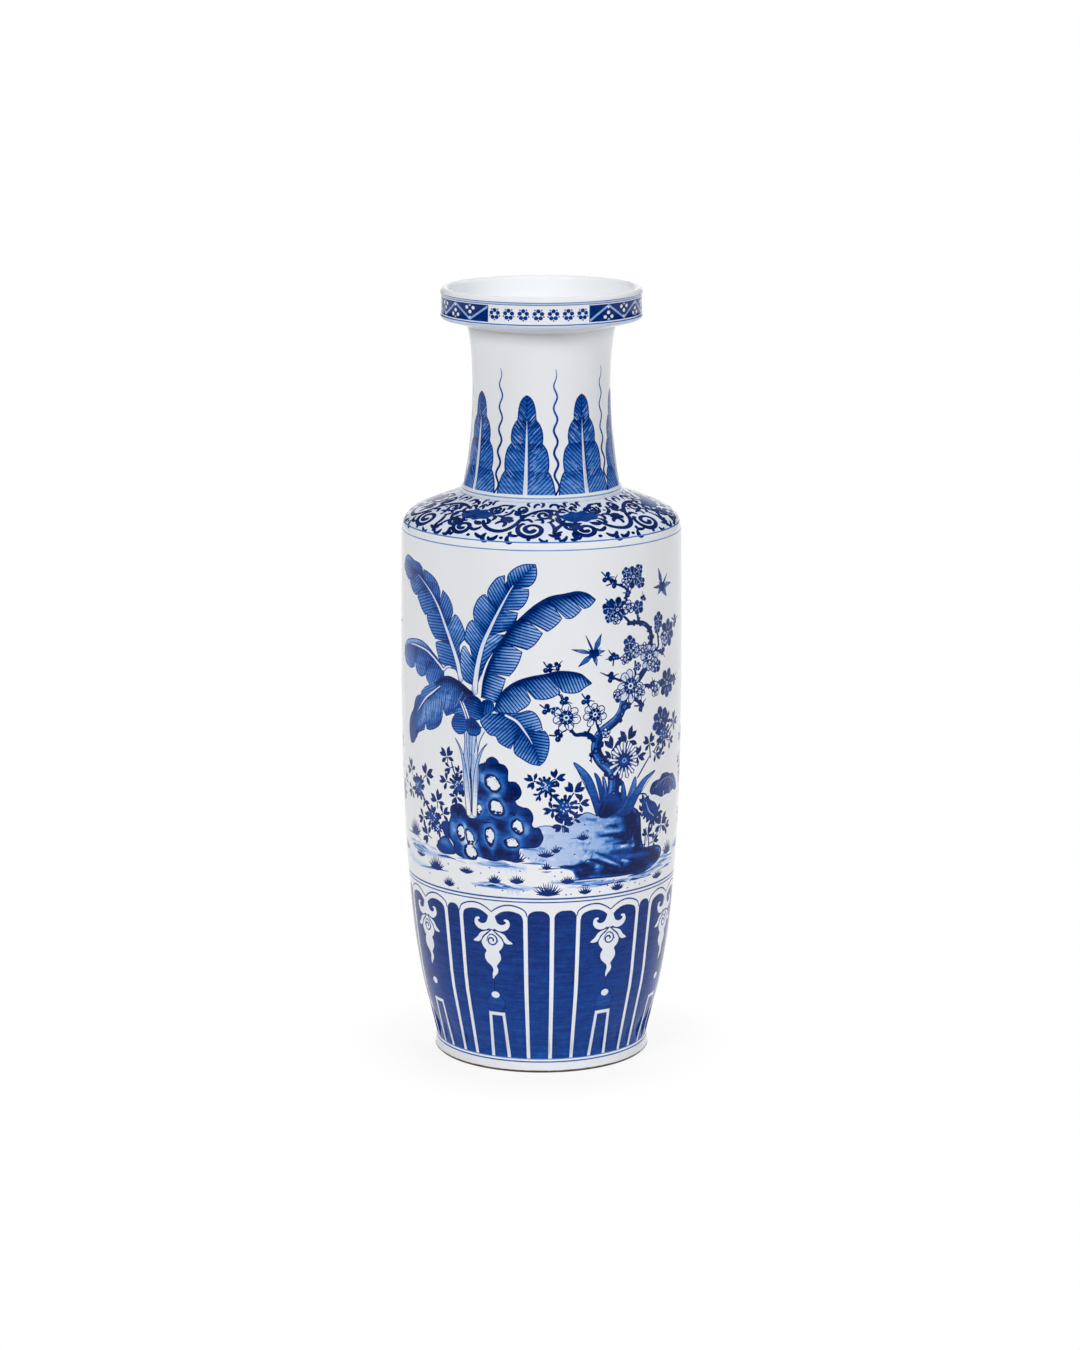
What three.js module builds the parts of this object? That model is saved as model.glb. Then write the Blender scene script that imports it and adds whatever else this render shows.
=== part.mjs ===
// Mallet vase of glazed porcelain, as a potter puts it together: six thrown and turned sections
// stand one on the other, and a thin ring of slip lutes each joint.
// Millimetres, +Z up, origin at the centre of the foot, on the surface that the vase stands on.

import * as THREE from 'three';

// Outside, from the foot to the lip: heights of the zones and radii at their ends; the upper
// wall draws in a little towards the shoulder
const footRadius = 64.3;
const footBevel = 1;
const footHeight = 9;
const footWaistRadius = 63.4;
const heelHeight = 11;
const heelRadius = 65.3;
const flankHeight = 215;
const bodyRadius = 83.5;
const upperWallHeight = 77;
const upperWallDraw = 0.6;
const shoulderHeight = 28.4;
const neckBaseRadius = 46.6;
const neckRingHeight = 2.6;
const neckRingProud = 0.7;
const neckHeight = 94.4;
const neckTopRadius = 43.6;
const mouthUndersideRise = 4.2;
const mouthRadius = 59.4;
const mouthCornerRadius = 2;
const mouthBandHeight = 13.4;
const mouthBandHollow = 0.7;
const lipHeight = 3;

// Curves of the outside: how each zone leans at its ends, and how far it keeps that lean
const flankLean = THREE.MathUtils.degToRad(21);
const heelReach = 4;
const flankLowerReach = 38.5;
const flankUpperReach = 96;
const shoulderDropReach = 17;
const shoulderFall = THREE.MathUtils.degToRad(22);
const shoulderFallReach = 35;
const neckLean = THREE.MathUtils.degToRad(15);
const neckLeanReach = 23.5;
const neckFlare = THREE.MathUtils.degToRad(14);
const neckFlareReach = 21.7;

// Inside
const recessDepth = 10;
const recessCornerRadius = 3;
const footRingWidth = 7;
const floorThickness = 8;
const floorCornerRadius = 14;
const bodyWall = 7;
const neckWall = 6;
const neckThroatReach = 4;
const mouthWall = 5.2;
const dishFloorThickness = 4.4;
const dishEdgeRadius = 4;
const dishCornerRadius = 4;

// Luted joints: the lowest stands at its own height, the next halfway to the shoulder, the
// others just under the shoulder's turn, at the neck's foot and under the mouth
const baseSectionHeight = 60;
const shoulderJointDrop = 6;
const mouthJointDrop = 3;
const slipThickness = 1;
const slipBead = 1.4;

// Faces round the axis and along the curves
const facets = 60;
const longCurveSteps = 10;
const curveSteps = 6;
const smallCurveSteps = 3;

// Heights above the surface that the vase stands on
const flankFoot = footHeight + heelHeight;
const widestHeight = flankFoot + flankHeight;
const shoulderFoot = widestHeight + upperWallHeight;
const neckFoot = shoulderFoot + shoulderHeight;
const neckRingTop = neckFoot + neckRingHeight;
const neckTop = neckRingTop + neckHeight;
const bandFoot = neckTop + mouthUndersideRise;
const bandTop = bandFoot + mouthCornerRadius + mouthBandHeight;
const floorTop = recessDepth + floorThickness;
const dishFloor = bandFoot + dishFloorThickness;

const at = (radius, height) => new THREE.Vector2(radius, height);
const towards = (from, angle, reach) => at(
  from.x + reach * Math.cos(angle),
  from.y + reach * Math.sin(angle),
);

function bend(from, fromHandle, toHandle, to, steps) {
  return new THREE.CubicBezierCurve(from, fromHandle, toHandle, to).getPoints(steps);
}

// Part of an ellipse, between two angles counted from straight out
function arc(centre, width, height, fromAngle, toAngle, steps) {
  return new THREE.EllipseCurve(centre.x, centre.y, width, height, fromAngle, toAngle,
    toAngle < fromAngle).getPoints(steps);
}

// Joins runs of points into one line, without a point that repeats the one before it
function line(...runs) {
  const points = [];
  for (const next of runs.flat()) {
    const last = points.at(-1);
    if (!last || last.distanceTo(next) > 1e-3) points.push(next);
  }
  return points;
}

// The part of a rising line between two heights, with its ends exactly there
function climb(points, low, high) {
  const crossing = (height) => {
    const i = points.findIndex((p, n) => n > 0 && p.y >= height);
    const [below, above] = [points[i - 1], points[i]];
    const share = (height - below.y) / (above.y - below.y);
    return at(below.x + share * (above.x - below.x), height);
  };
  return line(crossing(low), points.filter((p) => p.y > low && p.y < high), crossing(high));
}

// A line moved towards the axis by the thickness of the wall, square to it
function inward(points, thickness) {
  return points.map((p, i) => {
    const before = points[Math.max(i - 1, 0)];
    const after = points[Math.min(i + 1, points.length - 1)];
    const along = after.clone().sub(before).normalize();
    return at(p.x - thickness * along.y, p.y + thickness * along.x);
  });
}

// Outside of the body, from the floor to the neck's foot
const footEdge = at(footRadius, footBevel);
const footWaist = at(footWaistRadius, footHeight);
const heel = at(heelRadius, flankFoot);
const upright = Math.PI / 2;
const widest = at(bodyRadius, widestHeight);
const shoulderEdge = at(bodyRadius - upperWallDraw, shoulderFoot);
const neckBase = at(neckBaseRadius, neckFoot);

const heelCurve = bend(
  footWaist,
  towards(footWaist, upright, heelReach),
  towards(heel, -upright - flankLean, heelReach),
  heel,
  smallCurveSteps,
);
const flankCurve = bend(
  heel,
  towards(heel, upright - flankLean, flankLowerReach),
  towards(widest, -upright, flankUpperReach),
  widest,
  longCurveSteps,
);
const shoulderCurve = bend(
  shoulderEdge,
  towards(shoulderEdge, upright, shoulderDropReach),
  towards(neckBase, -shoulderFall, shoulderFallReach),
  neckBase,
  longCurveSteps,
);
const bodyOutside = line(footEdge, heelCurve, flankCurve, shoulderCurve);

// Outside of the neck, with the raised ring at its foot
const neckShaftFoot = at(neckBaseRadius, neckRingTop);
const neckShaftTop = at(neckTopRadius, neckTop);
const neckOutside = line(
  at(neckBaseRadius + neckRingProud, neckFoot),
  at(neckBaseRadius + neckRingProud, neckRingTop - neckRingProud),
  bend(
    neckShaftFoot,
    towards(neckShaftFoot, upright + neckLean, neckLeanReach),
    towards(neckShaftTop, -upright - neckFlare, neckFlareReach),
    neckShaftTop,
    curveSteps,
  ),
);

// Outside of the mouth: flat underside, rounded corner, hollow band and rounded lip
const mouthCorner = at(mouthRadius - mouthCornerRadius, bandFoot + mouthCornerRadius);
const bandMiddle = at(mouthRadius, (mouthCorner.y + bandTop) / 2);
const lipCentre = at(mouthRadius - mouthWall / 2, bandTop);
const mouthOutside = line(
  arc(mouthCorner, mouthCornerRadius, mouthCornerRadius, -upright, 0, smallCurveSteps),
  arc(bandMiddle, mouthBandHollow, mouthBandHeight / 2, -upright, -3 * upright, curveSteps),
  arc(lipCentre, mouthWall / 2, lipHeight, 0, Math.PI, curveSteps),
);

// Inside: floor, wall, throat of the neck, and dish of the mouth
const wallInside = inward(line(flankCurve, shoulderCurve), bodyWall);
const throatStart = wallInside.at(-1);
const throatEnd = at(neckBaseRadius - neckWall, neckFoot);
const bodyInside = line(
  wallInside,
  bend(
    throatStart,
    towards(throatStart, Math.PI - shoulderFall, neckThroatReach),
    towards(throatEnd, -upright, neckThroatReach),
    throatEnd,
    smallCurveSteps,
  ),
);
const neckInside = line(
  throatEnd,
  neckOutside.slice(2).map((p) => at(p.x - neckWall, p.y)),
);
const dishWallRadius = mouthRadius - mouthWall;
const boreRadius = neckTopRadius - neckWall;
const mouthInside = line(
  arc(at(dishWallRadius - dishCornerRadius, dishFloor + dishCornerRadius),
    dishCornerRadius, dishCornerRadius, 0, -upright, smallCurveSteps),
  arc(at(boreRadius + dishEdgeRadius, dishFloor - dishEdgeRadius),
    dishEdgeRadius, dishEdgeRadius, upright, Math.PI, smallCurveSteps),
  at(boreRadius, neckTop),
);

// Floor of the vase, from the wall to the axis, and the recess under it
const cornerTop = climb(bodyInside, floorTop + floorCornerRadius, baseSectionHeight)[0];
const cornerFoot = at(cornerTop.x - floorCornerRadius * Math.tan(flankLean), floorTop);
const floorInside = line(
  bend(cornerTop, cornerFoot, cornerFoot, at(cornerTop.x - floorCornerRadius, floorTop),
    smallCurveSteps),
  at(0, floorTop),
);
const recessRadius = footRadius - footRingWidth;
const recess = line(
  at(0, recessDepth),
  arc(at(recessRadius - recessCornerRadius, recessDepth - recessCornerRadius),
    recessCornerRadius, recessCornerRadius, upright, 0, smallCurveSteps),
  at(recessRadius, footBevel),
  at(recessRadius + footBevel, 0),
  at(footRadius - footBevel, 0),
);

// Height of the top of each section that another one stands on
const shoulderJoint = shoulderFoot - shoulderJointDrop;
const middleJoint = (baseSectionHeight + shoulderJoint) / 2;
const mouthJoint = neckTop - mouthJointDrop;

const clay = {
  porcelain: { color: '#e3e6e8', roughness: 0.12, metalness: 0 },
  slip: { color: '#dcdcd6', roughness: 0.5, metalness: 0 },
};

// Turns a closed outline round the upright axis into a named solid
function turned(name, material, outline) {
  const closed = outline[0].x === 0 ? outline : line(outline, outline[0]);
  const geometry = new THREE.LatheGeometry(closed, facets);
  geometry.rotateX(Math.PI / 2);
  const mesh = new THREE.Mesh(geometry, new THREE.MeshStandardMaterial(clay[material]));
  mesh.name = name;
  return mesh;
}

// A ring of wall between two heights, its luted faces flat
function ring(name, outside, inside, low, high) {
  return turned(name, 'porcelain', line(
    climb(outside, low, high),
    climb(inside, low, high).reverse(),
  ));
}

// The slip between two sections, with the bead that it leaves inside when they are pressed down
function luting(name, outside, inside, low) {
  const high = low + slipThickness;
  const [innerLow, innerHigh] = climb(inside, low, high);
  const middle = at((innerLow.x + innerHigh.x) / 2, (low + high) / 2);
  return turned(name, 'slip', line(
    climb(outside, low, high),
    arc(middle, slipBead, slipThickness / 2, upright, 3 * upright, smallCurveSteps),
  ));
}

const joint = {
  base: baseSectionHeight,
  body: middleJoint,
  shoulder: shoulderJoint,
  neck: neckFoot,
  mouth: mouthJoint,
};
const above = (name) => joint[name] + slipThickness;

const vase = new THREE.Group();
vase.add(
  turned('base_section', 'porcelain', line(
    recess,
    climb(bodyOutside, footBevel, joint.base),
    climb(bodyInside, cornerTop.y, joint.base).reverse(),
    floorInside,
  )),
  ring('lower_body_section', bodyOutside, bodyInside, above('base'), joint.body),
  ring('upper_body_section', bodyOutside, bodyInside, above('body'), joint.shoulder),
  ring('shoulder_section', bodyOutside, bodyInside, above('shoulder'), joint.neck),
  ring('neck_section', neckOutside, neckInside, above('neck'), joint.mouth),
  turned('mouth_section', 'porcelain', line(
    climb(neckOutside, above('mouth'), neckTop),
    mouthOutside,
    mouthInside,
    climb(neckInside, above('mouth'), neckTop).reverse(),
  )),
  luting('base_luting', bodyOutside, bodyInside, joint.base),
  luting('body_luting', bodyOutside, bodyInside, joint.body),
  luting('shoulder_luting', bodyOutside, bodyInside, joint.shoulder),
  luting('neck_luting', neckOutside, neckInside, joint.neck),
  luting('mouth_luting', neckOutside, neckInside, joint.mouth),
);

export default vase;
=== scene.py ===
# Porcelain mallet vase with a garden painted in underglaze cobalt.
# The wall is turned from six sections. Each one starts as a flat sheet, with the angle
# round the wheel across it and the length along the wall up it. The brush marks are cut
# into that sheet, and a Geometry Nodes tree then wraps it round the axis.
import bpy
import numpy as np
from math import atan2, ceil, cos, degrees, dist, hypot, pi, radians, sin, tan
from random import Random
from types import SimpleNamespace as Values
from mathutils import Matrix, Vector
from mathutils.geometry import delaunay_2d_cdt


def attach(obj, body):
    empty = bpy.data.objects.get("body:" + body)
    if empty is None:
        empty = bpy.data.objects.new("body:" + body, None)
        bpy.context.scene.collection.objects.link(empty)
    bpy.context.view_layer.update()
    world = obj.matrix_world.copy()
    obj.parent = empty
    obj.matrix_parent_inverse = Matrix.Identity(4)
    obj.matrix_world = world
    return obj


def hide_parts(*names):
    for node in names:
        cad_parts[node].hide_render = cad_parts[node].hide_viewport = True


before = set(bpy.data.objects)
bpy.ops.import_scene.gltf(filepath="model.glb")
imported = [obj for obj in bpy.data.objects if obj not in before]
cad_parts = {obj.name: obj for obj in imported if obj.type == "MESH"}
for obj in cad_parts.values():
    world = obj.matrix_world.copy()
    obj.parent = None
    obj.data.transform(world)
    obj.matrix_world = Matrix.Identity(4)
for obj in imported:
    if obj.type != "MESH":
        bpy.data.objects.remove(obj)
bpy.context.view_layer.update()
scene = bpy.context.scene
mm = 0.001
fullTurn = 2 * pi


# Outlines of the wall, as (radius, height) in millimetres

pot = {
    "footRadius": 64.3, "footBevel": 1, "footHeight": 9, "footWaistRadius": 63.4,
    "heelHeight": 11, "heelRadius": 65.3, "heelReach": 4,
    "flankHeight": 215, "flankLean": 21, "flankLowerReach": 38.5, "flankUpperReach": 96,
    "bodyRadius": 83.5, "upperWallHeight": 77, "upperWallDraw": 0.6,
    "shoulderHeight": 28.4, "shoulderFall": 22, "shoulderFallReach": 35, "shoulderDropReach": 17,
    "neckBaseRadius": 46.6, "neckRingHeight": 2.6, "neckRingProud": 0.7, "neckRingLength": 2.9,
    "neckHeight": 94.4, "neckTopRadius": 43.6, "neckLean": 15, "neckLeanReach": 23.5,
    "neckFlare": 14, "neckFlareReach": 21.7,
    "mouthUndersideRise": 4.2, "mouthRadius": 59.4, "mouthCornerRadius": 2,
    "mouthBandHeight": 13.4, "mouthBandHollow": 0.7, "lipHeight": 3,
    "bodyWall": 7, "neckWall": 6, "neckThroatReach": 4, "mouthWall": 5.2,
    "recessDepth": 10, "recessCornerRadius": 3, "footRingWidth": 7,
    "floorThickness": 8, "floorCornerRadius": 14,
    "dishFloorThickness": 4.4, "dishEdgeRadius": 4, "dishCornerRadius": 4,
    "baseSectionHeight": 60, "shoulderJointDrop": 6, "mouthJointDrop": 3,
}


def reach(start, degrees, distance):
    turn = radians(degrees)
    return (start[0] + distance * cos(turn), start[1] + distance * sin(turn))


def bend(start, startHandle, endHandle, end, steps=120):
    t = np.linspace(0, 1, steps + 1)[:, None]
    a, b, c, d = (np.array(p, float) for p in (start, startHandle, endHandle, end))
    return (1 - t) ** 3 * a + 3 * (1 - t) ** 2 * t * b + 3 * (1 - t) * t * t * c + t ** 3 * d


def arc(centre, radii, fromDegrees, toDegrees, steps):
    turn = np.radians(np.linspace(fromDegrees, toDegrees, steps + 1))
    return np.array(centre) + np.stack([np.cos(turn), np.sin(turn)], 1) * radii


def chain(*runs):
    points = np.concatenate([np.atleast_2d(np.array(run, float)) for run in runs])
    keep = np.r_[True, np.hypot(*np.diff(points, axis=0).T) > 1e-4]
    return points[keep]


def lengths(points):
    return np.r_[0, np.cumsum(np.hypot(*np.diff(points, axis=0).T))]


def directions(points):
    way = np.gradient(points, axis=0)
    return way / np.maximum(np.hypot(*way.T), 1e-9)[:, None]


# The part of a rising line between two heights, with its ends exactly there
def climb(points, low, high):
    radii = np.interp([low, high], points[:, 1], points[:, 0])
    middle = points[(points[:, 1] > low + 1e-6) & (points[:, 1] < high - 1e-6)]
    return chain((radii[0], low), middle, (radii[1], high))


def outlines(p):
    flankFoot = p.footHeight + p.heelHeight
    widestHeight = flankFoot + p.flankHeight
    shoulderFoot = widestHeight + p.upperWallHeight
    neckFoot = shoulderFoot + p.shoulderHeight
    shaftFoot = neckFoot + p.neckRingHeight
    neckTop = shaftFoot + p.neckHeight
    bandFoot = neckTop + p.mouthUndersideRise
    bandTop = bandFoot + p.mouthCornerRadius + p.mouthBandHeight
    waist = (p.footWaistRadius, p.footHeight)
    heel = (p.heelRadius, flankFoot)
    widest = (p.bodyRadius, widestHeight)
    edge = (p.bodyRadius - p.upperWallDraw, shoulderFoot)
    neckBase = (p.neckBaseRadius, neckFoot)
    flank = bend(heel, reach(heel, 90 - p.flankLean, p.flankLowerReach),
                 reach(widest, -90, p.flankUpperReach), widest, 260)
    shoulder = bend(edge, reach(edge, 90, p.shoulderDropReach),
                    reach(neckBase, -p.shoulderFall, p.shoulderFallReach), neckBase)
    body = chain(
        (p.footRadius, p.footBevel),
        bend(waist, reach(waist, 90, p.heelReach),
             reach(heel, -90 - p.flankLean, p.heelReach), heel, 30),
        flank, shoulder)
    proud = p.neckRingProud
    ringRadius = p.neckBaseRadius + proud
    foot = (p.neckBaseRadius, shaftFoot)
    top = (p.neckTopRadius, neckTop)
    shaft = bend(foot, reach(foot, 90 + p.neckLean, p.neckLeanReach),
                 reach(top, -90 - p.neckFlare, p.neckFlareReach), top)
    neck = chain((ringRadius, neckFoot),
                 arc((p.neckBaseRadius, shaftFoot - proud), proud, 0, 90, 8), shaft)
    corner = (p.mouthRadius - p.mouthCornerRadius, bandFoot + p.mouthCornerRadius)
    mouth = chain(
        top,
        arc(corner, p.mouthCornerRadius, -90, 0, 16),
        arc((p.mouthRadius, (corner[1] + bandTop) / 2),
            (p.mouthBandHollow, p.mouthBandHeight / 2), -90, -270, 40),
        arc((p.mouthRadius - p.mouthWall / 2, bandTop), (p.mouthWall / 2, p.lipHeight),
            0, 180, 36))

    # Inside: the wall moved in square to the outside, the throat, the bore and the dish
    curve = chain(flank, shoulder)
    along = directions(curve)
    inner = curve + p.bodyWall * np.stack([-along[:, 1], along[:, 0]], 1)
    throatEnd = (p.neckBaseRadius - p.neckWall, neckFoot)
    inside = chain(inner, bend(
        inner[-1], reach(inner[-1], 180 - p.shoulderFall, p.neckThroatReach),
        reach(throatEnd, -90, p.neckThroatReach), throatEnd, 16))
    neckInside = chain(throatEnd, shaft - [p.neckWall, 0])
    dishWall = p.mouthRadius - p.mouthWall
    bore = p.neckTopRadius - p.neckWall
    dishFloor = bandFoot + p.dishFloorThickness
    mouthInside = chain(
        arc((dishWall - p.dishCornerRadius, dishFloor + p.dishCornerRadius),
            p.dishCornerRadius, 0, -90, 14),
        arc((bore + p.dishEdgeRadius, dishFloor - p.dishEdgeRadius), p.dishEdgeRadius,
            90, 180, 14),
        (bore, neckTop))

    floorTop = p.recessDepth + p.floorThickness
    cornerTop = climb(inside, floorTop + p.floorCornerRadius, p.baseSectionHeight)[0]
    lean = tan(radians(p.flankLean))
    cornerFoot = (cornerTop[0] - p.floorCornerRadius * lean, floorTop)
    floor = chain(bend(cornerTop, cornerFoot, cornerFoot,
                       (cornerTop[0] - p.floorCornerRadius, floorTop), 14), (0, floorTop))
    recessRadius = p.footRadius - p.footRingWidth
    soft = p.recessCornerRadius
    recess = chain((0, p.recessDepth),
                   arc((recessRadius - soft, p.recessDepth - soft), soft, 90, 0, 12),
                   (recessRadius, p.footBevel), (recessRadius + p.footBevel, 0),
                   (p.footRadius - p.footBevel, 0), (p.footRadius, p.footBevel))
    shoulderJoint = shoulderFoot - p.shoulderJointDrop
    joints = {"base": p.baseSectionHeight,
              "body": (p.baseSectionHeight + shoulderJoint) / 2,
              "shoulder": shoulderJoint, "neck": neckFoot,
              "mouth": neckTop - p.mouthJointDrop}
    return Values(body=body, neck=neck, mouth=mouth, inside=inside, neckInside=neckInside,
                  mouthInside=mouthInside, floor=floor, recess=recess, joints=joints,
                  cornerTop=cornerTop, shaftFoot=shaftFoot, neckTop=neckTop)


line = outlines(Values(**pot))


# Each section's outline goes round it once. The painted run lies between two plain ones,
# and heightAlong says how far up the wall the painted run starts.
def sectionRuns(before, painted, after, heightAlong):
    firstPainted = lengths(chain(before, painted[0]))[-1]
    return Values(outline=chain(before, painted, after), start=heightAlong - firstPainted,
                  low=heightAlong, high=heightAlong + lengths(painted)[-1])


def allSections():
    joints, body, inside, neckInside = line.joints, line.body, line.inside, line.neckInside

    def wallRing(low, high):
        middle = (low + high) / 2
        return sectionRuns(climb(inside, low, middle)[::-1], climb(body, low, high),
                           climb(inside, middle, high)[::-1],
                           float(np.interp(low, body[:, 1], lengths(body))))

    neckUp = climb(line.neck, joints["neck"], joints["mouth"])
    ringLength = lengths(climb(line.neck, joints["neck"], line.shaftFoot))[-1]
    neckStart = lengths(body)[-1] + pot["neckRingLength"] - ringLength
    neckMiddle = (joints["neck"] + joints["mouth"]) / 2
    mouthDown = chain(line.mouthInside, climb(neckInside, joints["mouth"], line.neckTop)[::-1])
    dishTurn = len(line.mouthInside) // 2
    return {
        "base": sectionRuns(line.recess, climb(body, pot["footBevel"], joints["base"]),
                            chain(climb(inside, line.cornerTop[1], joints["base"])[::-1],
                                  line.floor), 0),
        "lowerBody": wallRing(joints["base"], joints["body"]),
        "upperBody": wallRing(joints["body"], joints["shoulder"]),
        "shoulder": wallRing(joints["shoulder"], joints["neck"]),
        "neck": sectionRuns(climb(neckInside, joints["neck"], neckMiddle)[::-1], neckUp,
                            climb(neckInside, neckMiddle, joints["mouth"])[::-1], neckStart),
        "mouth": sectionRuns(mouthDown[dishTurn:],
                             chain(climb(line.neck, joints["mouth"], line.neckTop), line.mouth),
                             mouthDown[:dishTurn + 1], neckStart + lengths(neckUp)[-1]),
    }


sections = allSections()
print("outlines:", {name: (round(s.low, 1), round(s.high, 1)) for name, s in sections.items()})


# Brushwork. A mark is a closed outline in millimetres: across is the way round the wall at
# the girth of its band, and up is the length along the wall from the foot.

def smooth(points, closed=False, gap=1.2):
    p = np.array(points, float)
    if len(p) < 3:
        return p
    if closed:
        p = np.concatenate([p[-1:], p, p[:2]])
    else:
        p = np.concatenate([2 * p[:1] - p[1:2], p, 2 * p[-1:] - p[-2:-1]])
    out = []
    for a, b, c, d in zip(p, p[1:], p[2:], p[3:]):
        n = max(1, int(ceil(dist(b, c) / gap)))
        t = (np.arange(n) / n)[:, None]
        out.append(0.5 * (2 * b + (c - a) * t + (2 * a - 5 * b + 4 * c - d) * t * t
                          + (3 * b - a - 3 * c + d) * t ** 3))
    if not closed:
        out.append(p[-2:-1])
    return np.concatenate(out)


# Values spread evenly over a path's length
def spread(path, values):
    share = lengths(path) / max(lengths(path)[-1], 1e-9)
    return np.interp(share, np.linspace(0, 1, len(values)), values)


def flipped(points, side):
    return [(side * x, y) for x, y in points]


# Points on a straight line from a centre, at some distances
def ray(x, y, degrees, *distances):
    return [reach((x, y), degrees, distance) for distance in distances]


class Brushwork:
    def __init__(self, girth):
        self.girth = girth
        self.marks = []
        self.put()

    # Where the next marks go as a group: moved round the wall and stretched sideways
    def put(self, across=0, stretch=1):
        self.across, self.stretch = across, stretch

    def moved(self, points):
        return np.atleast_2d(np.array(points, float)) * [self.stretch, 1] + [self.across, 0]

    # Weights of a value that changes evenly from one point to another
    def field(self, start, end, startValue, endValue):
        a, b = self.moved([start, end])
        slope = (b - a) * (endValue - startValue) / max(float((b - a) @ (b - a)), 1e-12)
        return np.array([startValue - slope @ a, slope[0] * self.girth, slope[1]])

    # tone is one depth of blue, or (from, to, at from, at to); hatch is (degrees, gap, depth).
    # A mark of the kind "add" deepens what it covers.
    def fill(self, outline, tone, hatch=None, kind="paint"):
        toneField = self.field(*tone) if isinstance(tone, tuple) else np.array([tone, 0.0, 0.0])
        hatchField, depth = np.zeros(3), 0.0
        if hatch:
            degrees, gap, depth = hatch
            hatchField = self.field((0, 0), reach((0, 0), degrees + 90, gap), 0, 1)
        outline = self.moved(outline) / [self.girth, 1]
        self.marks.append((outline, toneField, hatchField, depth, kind))

    def shape(self, points, tone, hatch=None, gap=1.2):
        self.fill(smooth(points, True, gap), tone, hatch)

    # A brush mark along a path, with its widths spread evenly over its length
    def stroke(self, path, widths, tone, gap=1.2):
        p = smooth(path, gap=gap)
        half = spread(p, widths)[:, None] / 2
        along = directions(p)
        side = np.stack([-along[:, 1], along[:, 0]], 1) * half
        start, end = p[0] - along[0] * half[0] * 0.8, p[-1] + along[-1] * half[-1] * 0.8
        self.fill(np.concatenate([[start], p + side, [end], (p - side)[::-1]]), tone)

    def dot(self, across, up, wide, high, tone, sides=10, turn=0):
        t = np.arange(sides) / sides * fullTurn
        c, s = cos(radians(turn)), sin(radians(turn))
        e = np.stack([np.cos(t) * wide / 2, np.sin(t) * high / 2], 1)
        self.fill(e @ np.array([[c, s], [-s, c]]) + [across, up], tone)

    # Dots on one place, as shares of a size
    def heart(self, across, up, size, *found):
        for wide, high, tone, sides in found:
            self.dot(across, up, size * wide, size * high, tone, sides)

    # A wash with soft edges: full on its path and gone at its width. It has no hatching. It
    # tints painted ground only, and a mist tints bare glaze as well.
    def soft(self, path, widths, amount, kind="soft"):
        p = smooth(path, gap=2.5)
        wash = (self.girth, spread(p, widths) / 2, amount)
        self.marks.append((self.moved(p) / [self.girth, 1], wash, None, 0.0, kind))

    def pool(self, across, up, wide, high, amount):
        half, narrow = abs(wide - high) / 2, min(wide, high) * 1.35
        dx, dy = (half, 0) if wide > high else (0, half)
        self.soft([(across - dx, up - dy), (across + dx, up + dy)], [narrow, narrow], amount)

    # A level band from one place round the wall to another
    def band(self, left, right, low, high, tone, steps=91):
        x = np.linspace(left, right, steps)
        self.fill(np.concatenate([np.stack([x, np.full(steps, low)], 1),
                                  np.stack([x[::-1], np.full(steps, high)], 1)]), tone)

    def rings(self, found):
        half = pi * self.girth
        for up, width, tone in found:
            self.band(-half, half, up - width / 2, up + width / 2, tone)

    def coil(self, across, up, radius, inner, turns, start, widths, tone, gap=0.9):
        t = np.linspace(0, 1, max(8, int(abs(turns) * 16)))
        a, r = radians(start) + turns * fullTurn * t, radius + (inner - radius) * t
        self.stroke(np.stack([across + r * np.cos(a), up + r * np.sin(a)], 1), widths, tone, gap)


# Foot, tall panels and the lines above them
panelBand = {
    "girth": 75.0, "pitch": 38.43, "firstPanel": -21.8, "count": 9, "frontPitch": 52.66,
    "foot": 7.6, "half": 18.3, "line": 2.4, "blue": 0.86, "lowBlue": 0.78, "stripGap": 2.5,
    "archLine": [(-20.5, 100.5), (-19.5, 103.6), (-16.5, 105.8), (-12, 107.1), (-7.5, 106.8),
      (-3.5, 105), (0, 102.4)],
    "arch": [(-18.3, 7.6), (-18.3, 50), (-18.3, 97.5), (-17.6, 100.6), (-15.5, 102.4),
      (-11.5, 103.5), (-7.5, 103.2), (-4.2, 101.6), (-1.6, 99.2), (0, 96)],
    "stem": [(-1.9, 101.6), (1.9, 101.6), (2.2, 98), (1.6, 91.5), (-1.6, 91.5), (-2.2, 98)],
    "curl": [(0.9, 100.5), (1.3, 97), (2.2, 94.2), (4.8, 92.6), (7.6, 93), (9.4, 95),
      (9.2, 97.2), (7.7, 97.6)],
    "sideLeaf": [(1.2, 90.3), (4.5, 89.8), (7.4, 88.4), (9.2, 85.8), (12, 83.2), (8.6, 82.9),
      (6.9, 84.4), (5.2, 87.4)],
    "bud": [(0, 91.2), (-2.6, 88.4), (-5.6, 86), (-6.7, 82.8), (-5.6, 79.8), (-3.9, 77.8),
      (-4.9, 75.6), (-5, 72.8), (-3.6, 70.4), (-1, 68), (-0.2, 65.6), (-0.9, 63), (-0.6, 60),
      (0.6, 61.8), (2.4, 63.9), (2.8, 66.3), (2, 68.2), (3, 69.9), (4.7, 72.6), (4.6, 75.6),
      (3.7, 77.8), (5.5, 79.8), (6.6, 82.8), (5.5, 86), (2.6, 88.4)],
    "bracket": [(-7.4, 7.6), (-5.4, 38.2), (5.3, 38.2), (7, 7.6), (4.6, 7.6), (3.5, 36),
      (-3.6, 36), (-5, 7.6)],
    "rings": [(7.45, 0.6, 0.5), (5.7, 0.8, 0.66), (109.5, 0.8, 0.68), (111.6, 1, 0.7)],
}


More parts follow.
